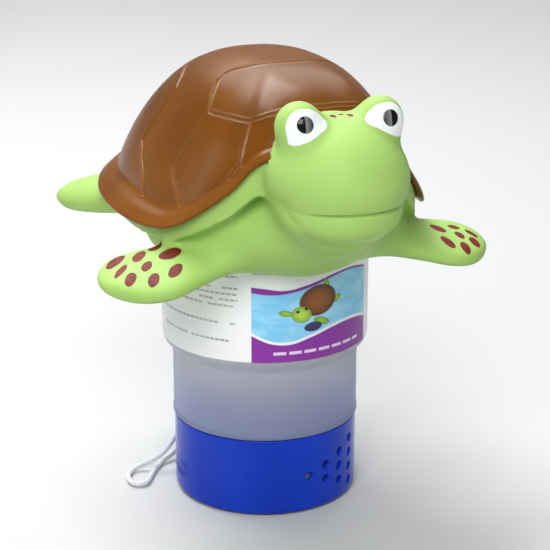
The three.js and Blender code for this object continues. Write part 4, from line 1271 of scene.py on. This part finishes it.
def dashes(N, u, zz, pitch, shift, period, fill):
    """Rows of dashes in place of small print: 1 on a dash."""
    both = lambda a, b: N.math("MULTIPLY", a, b)
    line = N.math("MULTIPLY", N.math("SUBTRACT", zz, shift), 1 / pitch)
    row, rf = N.math("FLOOR", line), N.math("FRACT", line)
    cells = N.math("MULTIPLY_ADD", row, 1.73, N.math("MULTIPLY", u, 1 / period))
    fr = N.math("FRACT", cells)
    w = N.new("ShaderNodeTexWhiteNoise", noise_dimensions="2D")
    N.to(w.inputs["Vector"], N.combine(N.math("FLOOR", cells), row, 0.0))
    some = N.math("GREATER_THAN", w.outputs["Value"], fill)
    stripe = both(N.step(rf, 0.30, 0.36), N.step(rf, 0.72, 0.66))
    gap = both(N.step(fr, 0.07, 0.13), N.step(fr, 0.94, 0.88))
    return both(both(stripe, gap), some)


def label_finish(N, col):
    N.set(color=col, rough=N.line(N.noise(60, 2, 0.5), 0.3, 0.7, 0.34, 0.44),
          normal=N.bump(N.noise(120, 2, 0.5), 0.05, 0.0006), spec=0.35)
    return N.mat


def text_material():
    N, ang, zz, u, paper = label_base("label_text")
    both = lambda a, b: N.math("MULTIPLY", a, b)
    mask = dashes(N, u, zz, 2.83, 106.0, 2.7, 0.14)

    def block(a0, a1, z0, z1):
        return both(both(N.math("GREATER_THAN", ang, a0), N.math("LESS_THAN", ang, a1)),
                    both(N.math("GREATER_THAN", zz, z0), N.math("LESS_THAN", zz, z1)))
    on = None
    for b in ((-80, -35, 106.0, 117.3), (-50, -35, 120.1, 123.0), (-94, -36, 97.4, 100.3), (-92, -40, 88.9, 91.8),
              (62, 172, 89.0, 120.1), (-172, -100, 91.8, 117.3)):
        m = block(*b)
        on = m if on is None else N.math("MAXIMUM", on, m)
    mask = both(both(mask, on), N.line(N.noise(60, 1, 0.5), 0.3, 0.7, 0.5, 0.8))
    return label_finish(N, N.mix(mask, paper, lin(110, 112, 120)))


def picture_material():
    N, ang, zz, u, paper = label_base("label_picture")
    both = lambda a, b: N.math("MULTIPLY", a, b)
    soft = 0.16

    def above(h):                                            # 1 above the height h
        return N.step(N.math("SUBTRACT", zz, h), -soft, soft)

    def wave(points):
        pts = [((a + 28.0) / 78.5, (h - 84.0) / 40.0) for a, h in points]
        c = N.fcurve(N.line(ang, -28.0, 50.5), pts)
        return N.math("MULTIPLY_ADD", c, 40.0, 84.0)

    inside = both(N.step(u, -24.2 - soft, -24.2 + soft), N.step(u, 43.2 + soft, 43.2 - soft))
    top = wave([(-28, 117.2), (-20.5, 116.4), (-10, 115.3), (3.7, 117.3), (19.6, 120.3), (31.7, 120.9), (42.7, 119.4), (50.5, 117.6)])
    low = wave([(-28, 114.5), (-18, 113.4), (-10, 113.6), (3.7, 115.8), (19.6, 119.2), (31.7, 119.9), (42.7, 118.3), (50.5, 116.7)])
    w_top = wave([(-28, 95.3), (-23.2, 93.1), (-16.6, 91.0), (-7.3, 90.4), (3.9, 92.7), (20, 96.1), (34, 96.6), (50.5, 93.7)])
    purple = lin(132, 44, 154)
    water = N.mix(N.step(N.noise(70, 2, 0.6, N.vec("MULTIPLY", N.obj, (1, 1, 2.4))), 0.35, 0.7), lin(122, 196, 238), lin(160, 216, 246))
    # from the bottom up: purple foot, white line, water, purple line, paper
    col = N.mix(above(N.math("SUBTRACT", w_top, 1.35)), purple, paper)
    col = N.mix(above(w_top), col, water)
    col = N.mix(above(low), col, purple)
    col = N.mix(above(top), col, paper)

    def blob(cu, cz, ru, rz, turn=0.0, rim=0.12):
        c, s = math.cos(math.radians(turn)), math.sin(math.radians(turn))
        du, dz = N.math("SUBTRACT", u, cu), N.math("SUBTRACT", zz, cz)
        a = N.math("MULTIPLY_ADD", du, c / ru, N.math("MULTIPLY", dz, s / ru))
        b = N.math("MULTIPLY_ADD", du, -s / rz, N.math("MULTIPLY", dz, c / rz))
        d = N.math("MULTIPLY_ADD", a, a, N.math("MULTIPLY", b, b))
        return N.step(d, 1 + rim, 1 - rim), d

    # a plain little swimming turtle
    for cu, cz, ru, rz, turn in ((-8.3, 104.2, 3.4, 1.5, -10), (9.6, 98.8, 4.4, 1.8, -18), (12.2, 116.0, 1.5, 2.8, 15), (18.6, 108.2, 2.6, 1.6, 25)):
        m, d = blob(cu, cz, ru, rz, turn)
        col = N.mix(m, col, N.mix(d, lin(150, 190, 60), lin(96, 140, 40)))
    m, d = blob(5.2, 96.6, 4.6, 2.3, 4)
    col = N.mix(m, col, lin(58, 52, 92))
    m, d = blob(7.9, 109.0, 9.8, 7.4, 8)
    col = N.mix(m, col, N.mix(d, lin(146, 88, 38), lin(78, 44, 18)))
    m, d = blob(-0.8, 103.0, 5.0, 3.9, -12)
    col = N.mix(m, col, N.mix(d, lin(178, 214, 84), lin(112, 156, 48)))
    for cu, cz in ((-2.6, 104.6), (1.5, 105.6)):
        m, d = blob(cu, cz, 0.85, 0.7)
        col = N.mix(m, col, lin(38, 42, 30))
    col = N.mix(inside, paper, col)
    # one row of light dashes on the purple foot and one of grey dashes above the picture
    mask = dashes(N, u, zz, 4.0, 82.9, 7.4, 0.05)
    lowrow = both(both(mask, N.math("LESS_THAN", zz, 86.9)), N.math("GREATER_THAN", zz, 82.9))
    lowrow = both(lowrow, both(N.math("GREATER_THAN", ang, -17.0), N.math("LESS_THAN", ang, 40.0)))
    col = N.mix(N.math("MULTIPLY", lowrow, 0.8), col, lin(236, 226, 242))
    mask = dashes(N, u, zz, 2.4, 122.2, 2.4, 0.12)
    toprow = both(both(mask, N.math("LESS_THAN", zz, 124.6)), N.math("GREATER_THAN", zz, 122.2))
    toprow = both(toprow, both(N.math("GREATER_THAN", ang, -27.0), N.math("LESS_THAN", ang, 10.0)))
    col = N.mix(N.math("MULTIPLY", toprow, 0.5), col, lin(112, 114, 120))
    return label_finish(N, col)


def put_label():
    me = make_label()
    me.shade_smooth()
    me.set_sharp_from_angle(angle=math.radians(40))
    o = bpy.data.objects.new("label_wrap", me)
    scene.collection.objects.link(o)
    me.materials.clear()
    me.materials.append(text_material())
    me.materials.append(picture_material())
    for f in me.polygons:
        c = f.center
        a = math.degrees(math.atan2(c.x, -c.y))
        f.material_index = 1 if -29.5 < a < 52.0 else 0
    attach(o, "canister")
    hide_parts("label")


put_label()


# ------------------------------------------------------------------ seal and plug
def make_plug():
    me = lathe("plug_insert", densify(rounded([
        (0, 134.0, 0), (49.5, 134.0, 0.5), (50.0, 133.5, 0.3), (50.0, 131.3, 0.3), (44.1, 131.3, 0.3), (44.1, 113.0, 0.4),
        (43.5, 112.0, 0.3), (41.7, 112.0, 0.3), (41.7, 130.9, 1.0), (38.5, 130.9, 0.2), (38.2, 130.5, 0.1), (37.4, 130.5, 0.1), (37.1, 130.9, 0.2),
        (12, 130.9, 0.3), (11.4, 129.9, 0.3), (9.4, 129.9, 0.3), (8.8, 130.9, 0.3), (0, 130.9, 0),
    ], 4), 4.0), 224)
    lugs = [sector(43.0, 46.9, 120.2, 123.7, a - LUG_HALF, a + LUG_HALF, 14) for a in BAYONET]
    me = boolean(me, lugs, "UNION")
    return me


def plug_material():
    N = Nodes("plug_plastic_white")
    n = N.noise(50, 3, 0.5)
    base = N.mix(N.step(n, 0.3, 0.7), lin(214, 217, 220), lin(224, 226, 228))
    return N.set(color=base, rough=N.line(n, 0.3, 0.7, 0.4, 0.5), normal=N.bump(N.noise(1300, 2, 0.5), 0.12, 0.0002))


def seal_material():
    N = Nodes("seal_rubber_grey")
    n = N.noise(300, 4, 0.6)
    base = N.mix(N.step(n, 0.3, 0.7), lin(206, 206, 202), lin(220, 220, 216))
    return N.set(color=base, rough=N.line(n, 0.3, 0.7, 0.6, 0.75), normal=N.bump(n, 0.2, 0.0003), sheen=0.1)


put("plug_insert", make_plug(), plug_material(), "float", ["float_plug"], 32)
put("seal_band", lathe("seal_band", rounded([
    (47.0, 129.3, 0), (48.9, 129.3, 0.6), (48.9, 131.0, 0.6), (47.6, 131.0, 0.2), (47.3, 130.75, 0.15), (46.7, 130.75, 0.15), (46.4, 131.0, 0.2),
    (45.1, 131.0, 0.6), (45.1, 129.3, 0.6), (47.0, 129.3, 0)], 5), 224), seal_material(), "seal", ["seal_ring"], 50)


# ------------------------------------------------------------------ studio
def make_stage():
    me = bpy.data.meshes.new("floor")
    s = 7.0
    me.from_pydata([(-s, -s, 0), (s, -s, 0), (s, s, 0), (-s, s, 0)], [], [(0, 1, 2, 3)])
    o = bpy.data.objects.new("floor", me)
    scene.collection.objects.link(o)
    o.location.z = -0.0002
    N = Nodes("floor_pale")
    base = N.mix(N.noise(0.8, 2, 0.5), lin(194, 195, 196), lin(200, 200, 201))
    N.set(color=base, rough=0.9, spec=0.1)
    me.materials.append(N.mat)
    w = bpy.data.worlds.new("world")
    w.use_nodes = True
    bg = w.node_tree.nodes["Background"]
    bg.inputs[0].default_value = (0.96, 0.98, 1.0, 1)
    bg.inputs[1].default_value = WORLD
    scene.world = w


def area(name, location, target, size, power, colour=(1, 1, 1), spread=180):
    d = bpy.data.lights.new(name, "AREA")
    d.shape = "RECTANGLE"
    d.size, d.size_y = size
    d.energy = power
    d.color = colour
    d.spread = math.radians(spread)
    o = bpy.data.objects.new(name, d)
    scene.collection.objects.link(o)
    o.location = location
    o.rotation_mode = "QUATERNION"
    o.rotation_quaternion = (Vector(target) - Vector(location)).to_track_quat("-Z", "Y")
    return o


WORLD = 0.22
make_stage()
area("overhead", (-0.2, 0.62, 1.35), (0, 0.05, 0.1), (0.95, 0.8), 21)
area("backdrop", (0.5, 2.3, 2.3), (0.3, 1.6, 0), (3.4, 2.2), 60)
area("key_front", (-0.5, -1.05, 1.05), (0, -0.03, 0.15), (0.8, 0.7), 18, (1.0, 0.99, 0.97))
area("left_strip", (-1.05, 0.62, 0.42), (0, 0, 0.17), (0.22, 0.5), 1.0)
